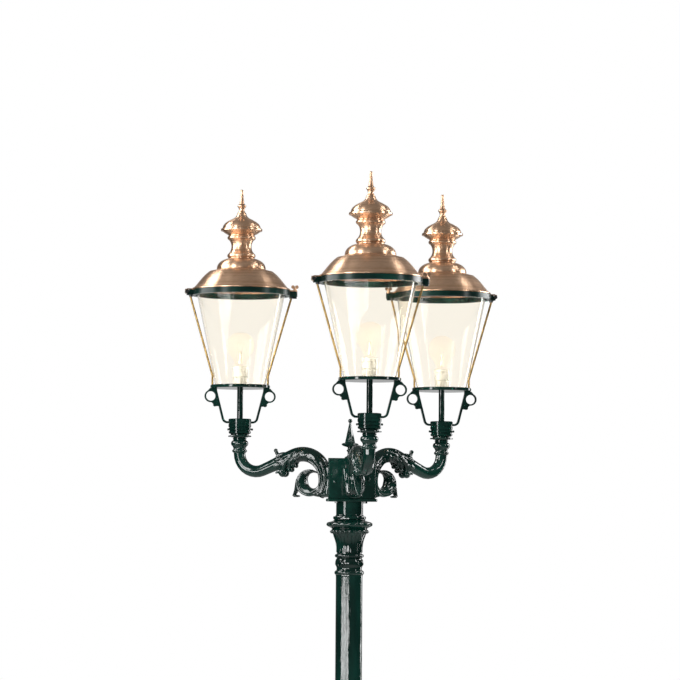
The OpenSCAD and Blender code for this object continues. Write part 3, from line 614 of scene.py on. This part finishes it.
@dataclass
class ScrolledArm:
    """One cast arm, modelled along +X from the post's axis, with heights over the hub's underside in mm."""

    reach: float
    back: float
    hub_h: float
    plate: float = 7.0
    plate_corner: float = 91.2
    tube: float = 40.0
    bend: float = 62.0
    bend_z: float = 153.0
    arch: float = 82.0
    arch_out: float = 122.0
    arch_z: float = 67.0
    arch_end: float = 222.0
    scroll: float = 45.7
    eye: float = 23.2
    eye_off: tuple = (-15.9, 5.3)
    scroll_from: float = 194.0
    scroll_to: float = 489.0
    spigot_z: float = 208.0
    voxel: float = 1.5
    parts: list = field(default_factory=list)

    def __post_init__(self) -> None:
        """Works out the plate's face, the centres of the bend, the arch and the scroll, and the run between."""
        self.face = self.back + self.plate
        self.bend_c = Vector((self.reach - self.bend, self.bend_z))
        self.arch_c = Vector((self.face + self.arch_out, self.arch_z))
        gap = self.arch_c - self.bend_c
        lean = math.degrees(math.asin((self.bend + self.arch) / gap.length))
        self.run = math.degrees(math.atan2(gap.y, gap.x)) + 360 - lean
        self.scroll_c = self.arch_c + Vector((-24.8, -14.3))

    def arch_depth(self, angle: float) -> tuple[float, float]:
        """Depth and width of the arch at an angle."""
        grown = ease((angle - 67) / 60)
        share = ease((angle - 130) / (self.arch_end - 130))
        return 50 - 15 * share, 46 + 5 * grown

    def scroll_ring(self, angle: float) -> tuple[Vector, float, float]:
        """Middle, depth and width of the scroll at an angle: it lies between its outside and its eye."""
        off = Vector(self.eye_off)
        side = off.dot(direction(angle))
        inner = side + math.sqrt(side * side - off.length_squared + self.eye ** 2)
        wound = max((angle - 360) / (self.scroll_to - 360), 0)
        depth = (self.scroll - inner) * (1 - 0.55 * wound * wound)
        width = 44 - 24 * ease(wound)
        return self.scroll_c + (self.scroll - depth / 2) * direction(angle), depth, width

    def member(self) -> None:
        """The main member: bend, run and arch as one tapering form, and the scroll under it."""
        rings = [Station(self.reach, self.bend_z + 6, -90, self.tube, self.tube)]
        swing = self.run - 270
        for i in range(10):
            angle = swing * i / 9
            spot = self.bend_c + self.bend * direction(angle)
            rings.append(Station(spot.x, spot.y, angle + 270, self.tube, self.tube))
        start = self.bend_c + self.bend * direction(self.run + 90)
        end = self.arch_c + self.arch * direction(self.run - 90)
        for i in range(1, 5):
            spot = start.lerp(end, i / 5)
            grown = ease(i / 5)
            rings.append(Station(spot.x, spot.y, self.run, self.tube + 10 * grown, self.tube + 6 * grown))
        first = self.run - 90
        for i in range(25):
            angle = first + (self.arch_end - first) * i / 24
            spot = self.arch_c + self.arch * direction(angle)
            rings.append(Station(spot.x, spot.y, angle + 90, *self.arch_depth(angle)))
        self.parts.append(Bench.sweep("member", rings, 20))
        rings = []
        for i in range(37):
            angle = self.scroll_from + (self.scroll_to - self.scroll_from) * i / 36
            spot, depth, width = self.scroll_ring(angle)
            rings.append(Station(spot.x, spot.y, angle + 90, depth, width))
        self.parts.append(Bench.sweep("scroll", rings, 16))

    def ridge(self, side: int, start: float, end: float, place: Callable, size: float) -> None:
        """A raised ridge along a flank, thinning towards its ends.

        Args:
            side: 1 or -1, the flank.
            start: angle at which it starts.
            end: angle at which it ends.
            place: gives the point in the arm's plane and the distance from it at an angle.
            size: its diameter.
        """
        rings = []
        count = max(int((end - start) / 8), 5)
        for i in range(count + 1):
            angle = start + (end - start) * i / count
            spot, out = place(angle)
            thin = 0.35 + 0.65 * math.sin(math.pi * min(max(i / count, 0.07), 0.93)) ** 0.5
            rings.append(Station(spot.x, spot.y, angle + 90, size * thin, size * thin, side * out))
        self.parts.append(Bench.sweep("ridge", rings, 8))

    def on_arch(self, inset: float) -> Callable:
        """Places on the arch's flank, inset from -1 at its inner edge to 1 at its outer edge."""
        def place(angle: float) -> tuple[Vector, float]:
            """Point and distance at an angle."""
            depth, width = self.arch_depth(angle)
            return (self.arch_c + (self.arch + depth / 2 * inset) * direction(angle),
                    width / 2 * math.sqrt(1 - inset * inset) - 0.3)
        return place

    def on_scroll(self, inset: float) -> Callable:
        """Places on the scroll's flank, inset from -1 at its eye to 1 at its outside."""
        def place(angle: float) -> tuple[Vector, float]:
            """Point and distance at an angle."""
            spot, depth, width = self.scroll_ring(angle)
            return spot + depth / 2 * inset * direction(angle), width / 2 * math.sqrt(1 - inset * inset) - 0.3
        return place

    def ridges(self, side: int) -> None:
        """Ridges that run down the arch and round the scroll."""
        self.ridge(side, 112, 214, self.on_arch(-0.66), 7.5)
        self.ridge(side, 128, 216, self.on_arch(-0.15), 6)
        self.ridge(side, 142, 214, self.on_arch(0.42), 7)
        self.ridge(side, 232, 462, self.on_scroll(0.72), 7)
        self.ridge(side, 240, 420, self.on_scroll(0.25), 5)
        self.ridge(side, 262, 440, self.on_scroll(-0.72), 5)

    def sprig(self, name: str, a: tuple, b: tuple, c: tuple, sizes: Sequence[tuple], sides: int) -> None:
        """Adds a tendril along a curve from a by way of b to c."""
        self.parts.append(Bench.sweep(name, bow(a, b, c, sizes), sides))

    def knob(self, name: str, centre: tuple, radii: tuple) -> None:
        """Adds a stretched ball."""
        self.parts.append(Bench.ball(name, centre, radii))

    def folds(self, side: int) -> None:
        """Leaf folds that sweep back over a flank of the arch, and the lobes that hang under it."""
        for i in range(6):
            angle = 50 + 21 * i
            low = self.arch_c + (self.arch - 17) * direction(angle)
            mid = self.arch_c + (self.arch + 5) * direction(angle + 6)
            high = self.arch_c + (self.arch + 19) * direction(angle + 33)
            self.sprig("fold", (low.x, side * 17, low.y), (mid.x, side * 27, mid.y), (high.x, side * 15, high.y),
                       [(4, 4), (9, 9), (12, 10), (11, 9), (8, 7), (3, 3)], 8)
        lobes = [
            ((206, 138), (234, 122), (237, 86), 20, 14.0),
            ((188, 140), (212, 126), (213, 98), 14, 9.5),
            ((176, 138), (196, 130), (197, 110), 11, 7.5),
        ]
        for start, control, tip, size, knob in lobes:
            (sx, sz), (cx, cz), (x, z) = start, control, tip
            sizes = [(size * k, size * k) for k in (0.5, 0.7, 0.85, 0.9, 0.9, 0.8)]
            self.sprig("lobe", (sx, side * 18, sz), (cx, side * 21, cz), (x, side * 12, z), sizes, 10)
            self.knob("knob", (x, side * 11, z), (knob, knob * 0.95, knob))
            self.knob("eye", (x - 1, side * (11 + knob * 0.85), z - 1), (knob * 0.36, knob * 0.3, knob * 0.36))
            self.sprig("vein", (sx - 8, side * 24, sz + 4), (cx - 4, side * 30, cz + 2),
                       (x + 2, side * (12 + knob * 0.8), z + knob * 0.8),
                       [(2, 2), (5, 4), (6, 4), (5, 4), (3, 3)], 6)

    def leaf_tips(self) -> None:
        """The knobbed spur on top of the arm, the collar of small tips, and the leaf that hangs from the scroll."""
        self.sprig("spur", (240, 0, 143), (262, 0, 140), (267, 0, 161),
                   [(22, 30), (18, 26), (14, 20), (12, 15), (11, 14)], 10)
        self.knob("knob", (267.5, 0, 161.5), (6.8, 8, 6.8))
        for y, z in ((19, 112), (-19, 112), (19, 132), (-19, 132), (9, 146), (-9, 146), (10, 92), (-10, 92)):
            self.sprig("collar", (232, y * 0.8, z + 6), (250, y * 1.2, z + 2), (264, y * 1.0, z - 7),
                       [(9, 8), (13, 10), (13, 10), (10, 8), (5, 5)], 8)
        self.sprig("tip", (183, 0, 64), (188, 0, 24), (203, 0, 9),
                   [(16, 38), (18, 36), (16, 32), (13, 27), (10, 20), (7, 12)], 12)
        self.sprig("heel", (200, 0, 8.5), (190, 0, 9.5), (180, 0, 8.5), [(7, 14), (8, 22), (8, 24), (6, 16)], 10)
        self.sprig("under", (self.face + 2, 0, 18), (self.face + 40, 0, 10), (self.scroll_c.x - 6, 0, 18),
                   [(20, 52), (20, 50), (20, 46), (18, 42), (14, 34)], 12)

    def foot(self) -> None:
        """The web between the plate and the back of the arch, and the shoulders on its flanks."""
        f = self.face
        self.parts.append(Bench.block("web", (f - 4, -20, 12), (f + 42, 20, 108), 6))
        for side in (-1, 1):
            self.sprig("shoulder", (f, side * 25, 106), (f + 20, side * 25, 84), (f + 26, side * 22, 14),
                       [(16, 12), (15, 13), (14, 13), (14, 12), (12, 11), (10, 9)], 10)
            self.sprig("leaf", (f, side * 24, 66), (f + 14, side * 26, 40), (f + 38, side * 18, 13),
                       [(9, 8), (11, 10), (11, 10), (10, 9), (7, 6)], 8)

    def plate_block(self) -> bpy.types.Object:
        """The plate over one face of the hub, mitred against the next arms' plates."""
        inner, outer = self.back, self.face
        mitre = math.radians(59.8)
        corner = math.sqrt(self.plate_corner ** 2 - outer ** 2) - 0.4
        piece = Bench.block("plate", (inner, -corner, 0), (outer, corner, self.hub_h), 0)
        for side in (-1, 1):
            Bench.cut(piece, Vector((-math.sin(mitre), side * math.cos(mitre), 0)))
        Bench.soften(piece, 1.2)
        return piece

    def spigot(self) -> bpy.types.Object:
        """The turned beads under the lantern and the spigot that its socket sits on."""
        z = self.spigot_z
        outline = [(0, z - 57), (19.5, z - 57), (20, z - 54)]
        outline += arc((20.5, z - 47.5), (4.8, 5.2), range(-75, 76, 15))
        outline += [(21.2, z - 41), (21.2, z - 37.5), (22.5, z - 35)]
        outline += arc((20.6, z - 22), (8.8, 10.4), range(-66, 67, 11))
        outline += [(22, z - 11), (22, z - 8), (23.4, z - 7), (23.4, z - 5), (21.6, z - 4), (21.6, z - 2.5),
                    (28, z - 1.5), (29, z), (24, z), (24, z + 44), (0, z + 44)]
        piece = Bench.lathe("spigot", outline, 56)
        Bench.take(piece)
        Bench.edit()
        bpy.ops.transform.translate(value=(self.reach, 0, 0))
        bpy.ops.object.mode_set(mode="OBJECT")
        return piece

    def build(self, base_z: float) -> bpy.types.Object:
        """Models the arm and settles it at the hub's height, still along +X."""
        self.member()
        for side in (-1, 1):
            self.ridges(side)
            self.folds(side)
        self.leaf_tips()
        self.foot()
        body = Bench.join("arm", self.parts)
        Bench.fuse(body, self.voxel, 2)
        Bench.take(body)
        Bench.edit()
        cut = self.face - self.plate / 2
        bpy.ops.mesh.bisect(plane_co=(cut, 0, 0), plane_no=(1, 0, 0), use_fill=True, clear_inner=True)
        Bench.outward()
        arm = Bench.join("arm", [body, self.spigot(), self.plate_block()])
        Bench.settle(arm, Vector((0, 0, base_z)), 40)
        return arm


@dataclass
class HubPlate:
    """The three-sided plate under the hub, with clipped corners and rounded edges, in mm."""

    face: float
    corner: float
    thick: float
    edge: float = 3.2

    def build(self, base_z: float) -> bpy.types.Object:
        """Models the plate and settles it on the capital's neck."""
        wide = self.corner + 10
        piece = Bench.block("hub_plate_casting", (-wide, -wide, 0), (wide, wide, self.thick), 0)
        for turn in ARM_TURNS:
            side = math.radians(turn)
            Bench.cut(piece, Vector((math.cos(side), math.sin(side), 0)), self.face)
            Bench.cut(piece, Vector((-math.cos(side), -math.sin(side), 0)), self.corner)
        Bench.soften(piece, self.edge, 4)
        Bench.settle(piece, Vector((0, 0, base_z)))
        return piece


@dataclass
class Spire:
    """The spire on the hub: a turned foot, a square brim with soft corners, a square spike and a ball, in mm."""

    height: float
    brim_z: float = 48.8
    brim_r: float = 31.0
    spike_r: float = 18.7
    ball_r: float = 7.0
    turn: float = -78.0

    def square(self, name: str, outline: Sequence[tuple[float, float]], width: float) -> bpy.types.Object:
        """A four-sided form from an outline of its corners, with soft edges."""
        piece = Bench.lathe(name, outline, 4)
        Bench.soften(piece, width)
        Bench.turn(piece, math.radians(self.turn))
        return piece

    def build(self, base_z: float) -> bpy.types.Object:
        """Models the spire and settles it on the hub."""
        z, top = self.brim_z, self.height - self.ball_r
        foot = [(0, -1), (17.4, -1), (18, 0.4), (18, 3), (17, 4.4), (14.6, 6), (10.6, 8), (8.6, 11)]
        foot += [(8, 15), (8, 22), (10, 23), (11.2, 24.6), (11.2, 27.4), (10, 29), (8, 30), (8, z - 6), (0, z - 6)]
        b, r = self.brim_r, self.ball_r
        brim = [(0, z - 12), (9, z - 12), (b - 6, z - 7.5), (b, z - 4), (b, z), (b - 7, z + 2.5), (0, z + 2.5)]
        spike = [(0, z), (self.spike_r, z), (self.spike_r, z + 3), (2.6, top - 2), (0, top - 2)]
        ball = arc((0, top), (r, r), range(-84, 85, 12))
        parts = [Bench.lathe("foot", foot, 48)]
        parts += [self.square("brim", brim, 2.2), self.square("spike", spike, 1.0)]
        parts.append(Bench.lathe("ball", [(0, top - r), *ball, (0, top + r)], 40))
        piece = Bench.join("spire_casting", parts)
        Bench.settle(piece, Vector((0, 0, base_z)))
        return piece


@dataclass
class CastCapital:
    """The capital: plain lower mouldings, a bell of leaves, a ring of pearls and a plain neck, heights in mm."""

    height: float
    shaft_r: float = 44.45
    waist_r: float = 41.5
    lip_r: float = 60.0
    ring_r: float = 77.5
    neck_r: float = 45.0
    leaves: int = 12
    pearls: int = 22

    def bead(self, radius: float, z: float, size: float, reach: float = 78) -> list[tuple[float, float]]:
        """Points of a round moulding."""
        steps = 7
        return arc((radius, z), (size, size), (-reach + 2 * reach * i / steps for i in range(steps + 1)))

    def bell(self, share: float) -> tuple[float, float]:
        """Radius and height of the bell at a share of its rise."""
        radius = self.waist_r + (self.lip_r - self.waist_r - 3) * share ** 2.6
        return radius, 80 + 66 * share

    def outline(self) -> list[tuple[float, float]]:
        """The turned outline, from the shaft up to the hub's plate."""
        s, w, n, h = self.shaft_r, self.waist_r, self.neck_r, self.height
        points = [(25, 0), (s, 0), (s + 0.6, 3), (s + 0.6, 6)]
        points += self.bead(s - 3.2, 13, 8.2)
        points += [(w + 1, 23), (w + 0.4, 26), (w + 1, 31), (w + 3.4, 36)]
        points += [(w + 5, 42), (w + 5.2, 49), (w + 3.6, 56), (w, 61)]
        points += self.bead(w + 1, 69, 6)
        points += [(w, 76)]
        points += [self.bell(i / 12) for i in range(13)]
        points += [(self.lip_r + 1, 148), (self.lip_r + 2, 151), (self.lip_r, 155), (self.lip_r - 2, 158)]
        points += [(self.lip_r + 2, 161), (self.ring_r - 8, 165)]
        points += self.bead(self.ring_r - 9.5, h - 75, 8.2, 62)
        points += [(n + 16, h - 65), (n + 9, h - 62), (n + 6, h - 60), (n + 9.5, h - 57), (n + 10, h - 52),
                   (n + 9, h - 49), (n + 3, h - 47), (n, h - 43), (n, h), (25, h)]
        return points

    def leaf(self) -> bpy.types.Object:
        """One leaf of the bell, with a rib down its middle and a tip that rolls out over the lip."""
        shares = [i / 7 for i in range(8)]
        widths = [7, 12, 17, 20, 23, 25, 24, 17]
        rings = [Station(self.bell(t)[0] - 0.5, self.bell(t)[1], 90 - 48 * t ** 3, 3.6, w)
                 for t, w in zip(shares, widths)]
        rings.append(Station(self.lip_r + 2, 149, 20, 6, 14))
        rings.append(Station(self.lip_r + 5, 147, -50, 5, 9))
        blade = Bench.sweep("blade", rings, 10)
        rib = [Station(self.bell(t)[0] + 1.6, self.bell(t)[1], 90 - 48 * t ** 3, 2.6, 3.4)
               for t in shares[:-1]]
        return Bench.join("leaf", [blade, Bench.sweep("rib", rib, 6)])

    def curl(self) -> bpy.types.Object:
        """A small double curl of leaves on the lower band."""
        parts = []
        for side in (-1, 1):
            start = self.waist_r + 1
            path = bow((start, side * 3, 33), (start + 6, side * 13, 38), (start + 3, side * 11, 50),
                       [(4, 4), (7, 6), (8, 7), (7, 6), (4, 4)])
            parts.append(Bench.sweep("curl", path, 8))
            path = bow((start, side * 11, 52), (start + 6, side * 3, 60), (start + 3, side * 1, 46),
                       [(4, 4), (6, 5), (7, 6), (6, 5), (4, 4)])
            parts.append(Bench.sweep("curl", path, 8))
        return Bench.join("curl", parts)

    def pearl(self) -> bpy.types.Object:
        """One pearl of the ring."""
        return Bench.ball("pearl", (self.ring_r - 4.6, 0, self.height - 75), (4.6, 5.2, 5.6))

    def tip(self) -> bpy.types.Object:
        """One rounded tip of the row at the bell's lip."""
        return Bench.ball("tip", (self.lip_r - 1, 0, 149), (5.2, 5.6, 6.4))

    def ring(self, one: bpy.types.Object, count: int, start: float = 0.0) -> list[bpy.types.Object]:
        """Copies a form round the axis and drops the first one."""
        made = [Bench.copy(one, "copy", math.radians(start) + 2 * math.pi * i / count) for i in range(count)]
        bpy.data.objects.remove(one)
        return made

    def build(self, base_z: float) -> bpy.types.Object:
        """Models the capital and settles it on the shaft."""
        parts = [Bench.lathe("turned", self.outline(), 80)]
        parts += self.ring(self.leaf(), self.leaves)
        parts += self.ring(self.pearl(), self.pearls)
        parts += self.ring(self.tip(), 2 * self.leaves, 7.5)
        parts += self.ring(self.curl(), 4, 45)
        piece = Bench.join("capital_casting", parts)
        Bench.settle(piece, Vector((0, 0, base_z)), 38)
        return piece


@dataclass
class Studio:
    """The floor, the lamps, the backdrop and the camera at the photograph's angle."""

    azimuth: float = -8.62
    distance: float = 9.926
    height: float = 1.5325
    offset: float = -0.036
    pitch: float = 3.755
    roll: float = 0.41
    focal_px: float = 2981.0
    frame_px: int = 680
    sensor: float = 36.0
    floor_r: float = 5.0
    fade: tuple = (1.6, 4.8)
    room: float = 0.6

    def camera(self) -> None:
        """Makes the camera."""
        data = bpy.data.cameras.new("camera")
        data.sensor_width = self.sensor
        data.lens = self.focal_px / self.frame_px * self.sensor
        data.clip_end = 100
        made = bpy.data.objects.new("camera", data)
        turn = math.radians(self.azimuth)
        back = Vector((math.sin(turn), -math.cos(turn), 0))
        right = Vector((math.cos(turn), math.sin(turn), 0))
        spot = back * self.distance + right * self.offset + Vector((0, 0, self.height))
        made.matrix_world = (Matrix.Translation(spot) @ Matrix.Rotation(turn, 4, "Z")
                             @ Matrix.Rotation(math.radians(90 + self.pitch), 4, "X")
                             @ Matrix.Rotation(math.radians(self.roll), 4, "Z"))
        bpy.context.scene.collection.objects.link(made)
        bpy.context.scene.camera = made

    def lamp(self, name: str, bearing: float, away: float, middle: float, size: tuple, glow: float,
             aim_z: float | None = None, soft: bool = False) -> None:
        """A softbox that faces the post.

        Args:
            name: the lamp's name.
            bearing: its angle from the camera's azimuth, in degrees, positive to the right.
            away: its distance from the post in metres.
            middle: the height of its middle in metres.
            size: its width and height in metres.
            glow: how bright its face is.
            aim_z: the height on the post's axis that it faces, where that isn't its own.
            soft: whether it lights matt surfaces, or shows in gloss.
        """
        data = bpy.data.lights.new(name, "AREA")
        data.shape = "RECTANGLE"
        data.size, data.size_y = size
        data.energy = glow * size[0] * size[1] * math.pi
        made = bpy.data.objects.new(name, data)
        turn = math.radians(self.azimuth + bearing)
        spot = Vector((math.sin(turn), -math.cos(turn), 0)) * away + Vector((0, 0, middle))
        aim = Vector((0, 0, middle if aim_z is None else aim_z))
        made.matrix_world = Matrix.Translation(spot) @ (spot - aim).to_track_quat("Z", "Y").to_matrix().to_4x4()
        made.visible_diffuse = soft
        made.visible_glossy = not soft
        bpy.context.scene.collection.objects.link(made)

    def lamps(self) -> None:
        """Softboxes that show in the gloss, low panes for the shaft, and one that lights matt surfaces."""
        self.lamp("key", -42, 3.2, 3.0, (0.6, 2.2), 12.0)
        self.lamp("key_mid", -44, 3.2, 1.6, (0.9, 0.6), 9.0)
        panes = ((-60, 1.3, 16.0), (-47.5, 1.5, 8.5), (-34, 1.3, 16.0), (-22, 1.1, 8.0), (-10, 1.4, 15.0))
        for number, (bearing, width, glow) in enumerate(panes):
            self.lamp(f"pane_{number}", bearing, 7.0, 0.62, (width, 1.3), glow)
        self.lamp("left", -85, 3.0, 3.0, (2.0, 1.2), 13.0, 1.75)
        self.lamp("left_high", -112, 3.0, 5.0, (0.8, 1.4), 14.0, 2.5)
        self.lamp("right", 113, 3.0, 2.7, (1.4, 0.9), 12.0, 1.75)
        self.lamp("right_high", 95, 3.0, 5.2, (0.3, 1.6), 18.0, 2.5)
        self.lamp("fill", 62, 3.2, 3.2, (0.3, 2.0), 16.0)
        self.lamp("edge", 132, 3.4, 1.5, (0.5, 2.9), 8.0)
        self.lamp("day", -30, 6.0, 5.0, (4.0, 4.0), 2.6, soft=True)

    def backdrop(self) -> None:
        """The surroundings: white to the camera and through glass, a pale room with darker sides in gloss."""
        world = bpy.data.worlds.new("room")
        bpy.context.scene.world = world
        world.use_nodes = True
        tree = Tree(world.node_tree)
        way = tree.node("ShaderNodeTexCoord", out="Generated")
        turn = math.radians(self.azimuth)
        ahead = (math.sin(turn), -math.cos(turn), 0)
        front = tree.node("ShaderNodeVectorMath", {"operation": "DOT_PRODUCT"}, {0: way, 1: ahead}, out=1)
        high = tree.node("ShaderNodeSeparateXYZ", None, {0: way}, out=2)
        level = 0.03 + 0.07 * front.smooth(0.1, 0.95) + 0.5 * (0 - front).smooth(0.85, 0.99)
        level = level + 0.15 * high.smooth(0.12, 0.75)
        path = tree.node("ShaderNodeLightPath", out="Is Glossy Ray")
        eye = tree.node("ShaderNodeLightPath", out="Is Camera Ray")
        clear = tree.node("ShaderNodeLightPath", out="Is Transmission Ray")
        seen = tree.node("ShaderNodeMath", {"operation": "MAXIMUM"}, {0: eye, 1: clear})
        soft = self.room + (level - self.room) * path
        strength = soft + (1.0 - soft) * seen
        shade = tree.node("ShaderNodeBackground", None, {"Color": (1, 1, 1, 1), "Strength": strength})
        tree.node("ShaderNodeOutputWorld", None, {"Surface": shade})

    def floor(self) -> None:
        """A pale round floor that fades out at its edge."""
        Bench.clear()
        bpy.ops.mesh.primitive_circle_add(vertices=96, radius=self.floor_r, fill_type="NGON", location=(0, 0, 0))
        piece = bpy.context.object
        piece.name = "floor"
        material, tree = new_tree("pale_floor")
        spot = tree.place()
        away = tree.node("ShaderNodeVectorMath", {"operation": "LENGTH"}, {0: spot}, out=1)
        grain = tree.noise(spot, 60, 3)
        solid = tree.node("ShaderNodeBsdfPrincipled", None, {
            "Base Color": tree.mix(grain, rgb(236, 236, 235), rgb(244, 244, 243)),
            "Roughness": 0.8 + 0.1 * grain,
        })
        nothing = tree.node("ShaderNodeBsdfTransparent")
        mixed = tree.node("ShaderNodeMixShader", None, {0: away.smooth(*self.fade), 1: solid, 2: nothing})
        tree.node("ShaderNodeOutputMaterial", None, {"Surface": mixed})
        piece.data.materials.append(material)

    def build(self) -> None:
        """Sets up the whole studio."""
        self.camera()
        self.lamps()
        self.backdrop()
        self.floor()
        bpy.context.scene.view_settings.view_transform = "Standard"


@dataclass
class Filament:
    """The glass stem, the two lead wires and the glowing wire's loops inside a bulb, in mm over its cap."""

    stem_h: float = 34.0
    spread: float = 13.0
    wire: float = 0.4
    loops: int = 5

    def build(self, spot: Vector, name: str) -> bpy.types.Object:
        """Models the parts and settles them at the bulb's middle."""
        low = -self.stem_h
        stem = [(0, low - 26), (7, low - 26), (5, low - 12), (3.4, low), (3.4, low + 10), (4.6, low + 14),
                (0, low + 15)]
        parts = [Bench.lathe("stem", stem, 20)]
        for side in (-1, 1):
            lead = bow((side * 2, 0, low + 8), (side * 5, 0, -8), (side * self.spread, 0, 10),
                       [(self.wire * 2, self.wire * 2)] * 6)
            parts.append(Bench.sweep("lead", lead, 6))
        count = self.loops * 4
        wave = []
        for i in range(count + 1):
            turn = math.pi * 2 * self.loops * i / count
            x = self.spread * (2 * i / count - 1)
            wave.append(Station(x, 10 + 2.6 * math.sin(turn), math.degrees(math.atan(0.9 * math.cos(turn))),
                                self.wire * 1.4, self.wire * 1.4, 2.6 * math.cos(turn)))
        parts.append(Bench.sweep("wire", wave, 6))
        piece = Bench.join(name, parts)
        Bench.settle(piece, spot, 40)
        return piece


class Dresser:
    """Gives every node that came from the frame its material."""

    def __init__(self) -> None:
        """Builds the shared materials."""
        self.castings = GreenPaint("green_castings", ripple=0.5, grain=0.05).build()
        self.tubes = GreenPaint("green_tubes", ripple=0.7, grain=0.03, stretch=0.25, runs=0.8).build()
        self.satin = GreenPaint("green_rims", ripple=0.3, grain=0.05, rough=0.2, shine=0.16).build()
        self.brass = DrawnMetal("brass", rgb(150, 126, 78), rgb(118, 96, 56), 0.28).build()
        self.steel = DrawnMetal("black_steel", rgb(70, 72, 72), rgb(38, 40, 40), 0.34).build()
        self.wire = DrawnMetal("filament_wire", rgb(196, 190, 176), rgb(168, 160, 146), 0.4).build()
        self.glass = ClearGlass("lantern_glass", rgb(253, 250, 243), 0.2).build()
        self.bulb = FrostedBulb("bulb_glass").build()
        self.porcelain = Glazed("porcelain", rgb(204, 200, 188), rgb(184, 180, 168)).build()
        self.seal = Rubber("seal_rubber").build()

    def paint(self, name: str, material: bpy.types.Material) -> None:
        """Puts a material on a node."""
        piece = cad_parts[name]
        piece.data.materials.clear()
        piece.data.materials.append(material)

    def dress(self) -> None:
        """Paints the post's own nodes and each lantern's."""
        for name in ("base_flange", "capital", "hub_plate", "hub", "spire"):
            self.paint(name, self.castings)
        self.paint("shaft", self.tubes)
        for name in ("plate_screws", "arm_bolts", "set_screws", "stem_nuts"):
            self.paint(name, self.castings)
        for name in ("rod_nuts", "hinge_pins"):
            self.paint(name, self.steel)
        for side in Side:
            self.lantern(side)

    def lantern(self, side: Side) -> None:
        """Paints one lantern's nodes."""
        tail = side.value
        copper = SpunCopper(f"spun_copper_{tail}", side.axis).build()
        for name in ("arm", "socket", "brackets", "gallery"):
            self.paint(f"{name}_{tail}", self.castings)
        self.paint(f"rim_ring_{tail}", self.satin)
        self.paint(f"stem_{tail}", self.tubes)
        for name in ("hood", "chimney", "cap", "finial", "thumb_screw"):
            self.paint(f"{name}_{tail}", copper)
        self.paint(f"tie_rods_{tail}", self.brass)
        self.paint(f"lampholder_{tail}", self.porcelain)
        self.paint(f"glass_seal_{tail}", self.seal)
        self.paint(f"glass_{tail}", self.glass)
        self.paint(f"bulb_{tail}", self.bulb)
        for name in ("glass", "bulb"):
            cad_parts[f"{name}_{tail}"].visible_shadow = False


def place(piece: bpy.types.Object, body: str, slot: str, material: bpy.types.Material,
          *nodes: str) -> None:
    """Dresses a new piece, seats it on its body and hides the nodes that it stands for."""
    piece.data.materials.clear()
    piece.data.materials.append(material)
    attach(piece, body)
    if nodes:
        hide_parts(*nodes)
    log.info("%s: %d faces", piece.name, len(piece.data.polygons))


def main() -> None:
    """Builds the studio, dresses the frame and adds the finer pieces."""
    logging.basicConfig(level=logging.INFO, format="%(message)s")
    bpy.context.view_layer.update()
    Studio().build()
    dresser = Dresser()
    dresser.dress()
    hub_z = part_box("hub")[0].z
    shaft_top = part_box("shaft")[1].z
    plate_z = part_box("hub_plate")[0].z
    hub_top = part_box("hub")[1].z
    back = -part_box("arm_front")[1].y / MM
    post_arm = ScrolledArm(reach=Side.RIGHT.axis.length / MM, back=back, hub_h=(hub_top - hub_z) / MM)
    pattern = post_arm.build(hub_z)
    for side in Side:
        arm = Bench.copy(pattern, f"arm_casting_{side.value}", side.turn)
        place(arm, "post", "green", dresser.castings, f"arm_{side.value}")
    bpy.data.objects.remove(pattern)
    capital = CastCapital(height=(plate_z - shaft_top) / MM).build(shaft_top)
    place(capital, "post", "green", dresser.castings, "capital")
    low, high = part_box("hub_plate")
    plate = HubPlate(face=-low.y / MM, corner=high.y / MM, thick=(high.z - low.z) / MM).build(low.z)
    place(plate, "post", "green", dresser.castings, "hub_plate")
    spire = Spire(height=(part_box("spire")[1].z - hub_top) / MM).build(hub_top)
    place(spire, "post", "green", dresser.castings, "spire")
    for side in Side:
        low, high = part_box(f"bulb_{side.value}")
        middle = side.axis + Vector((0, 0, high.z - (high.x - low.x) / 2))
        wires = Filament().build(middle, f"filament_{side.value}")
        place(wires, "post", "brass", dresser.wire)


if __name__ == "__main__":
    main()
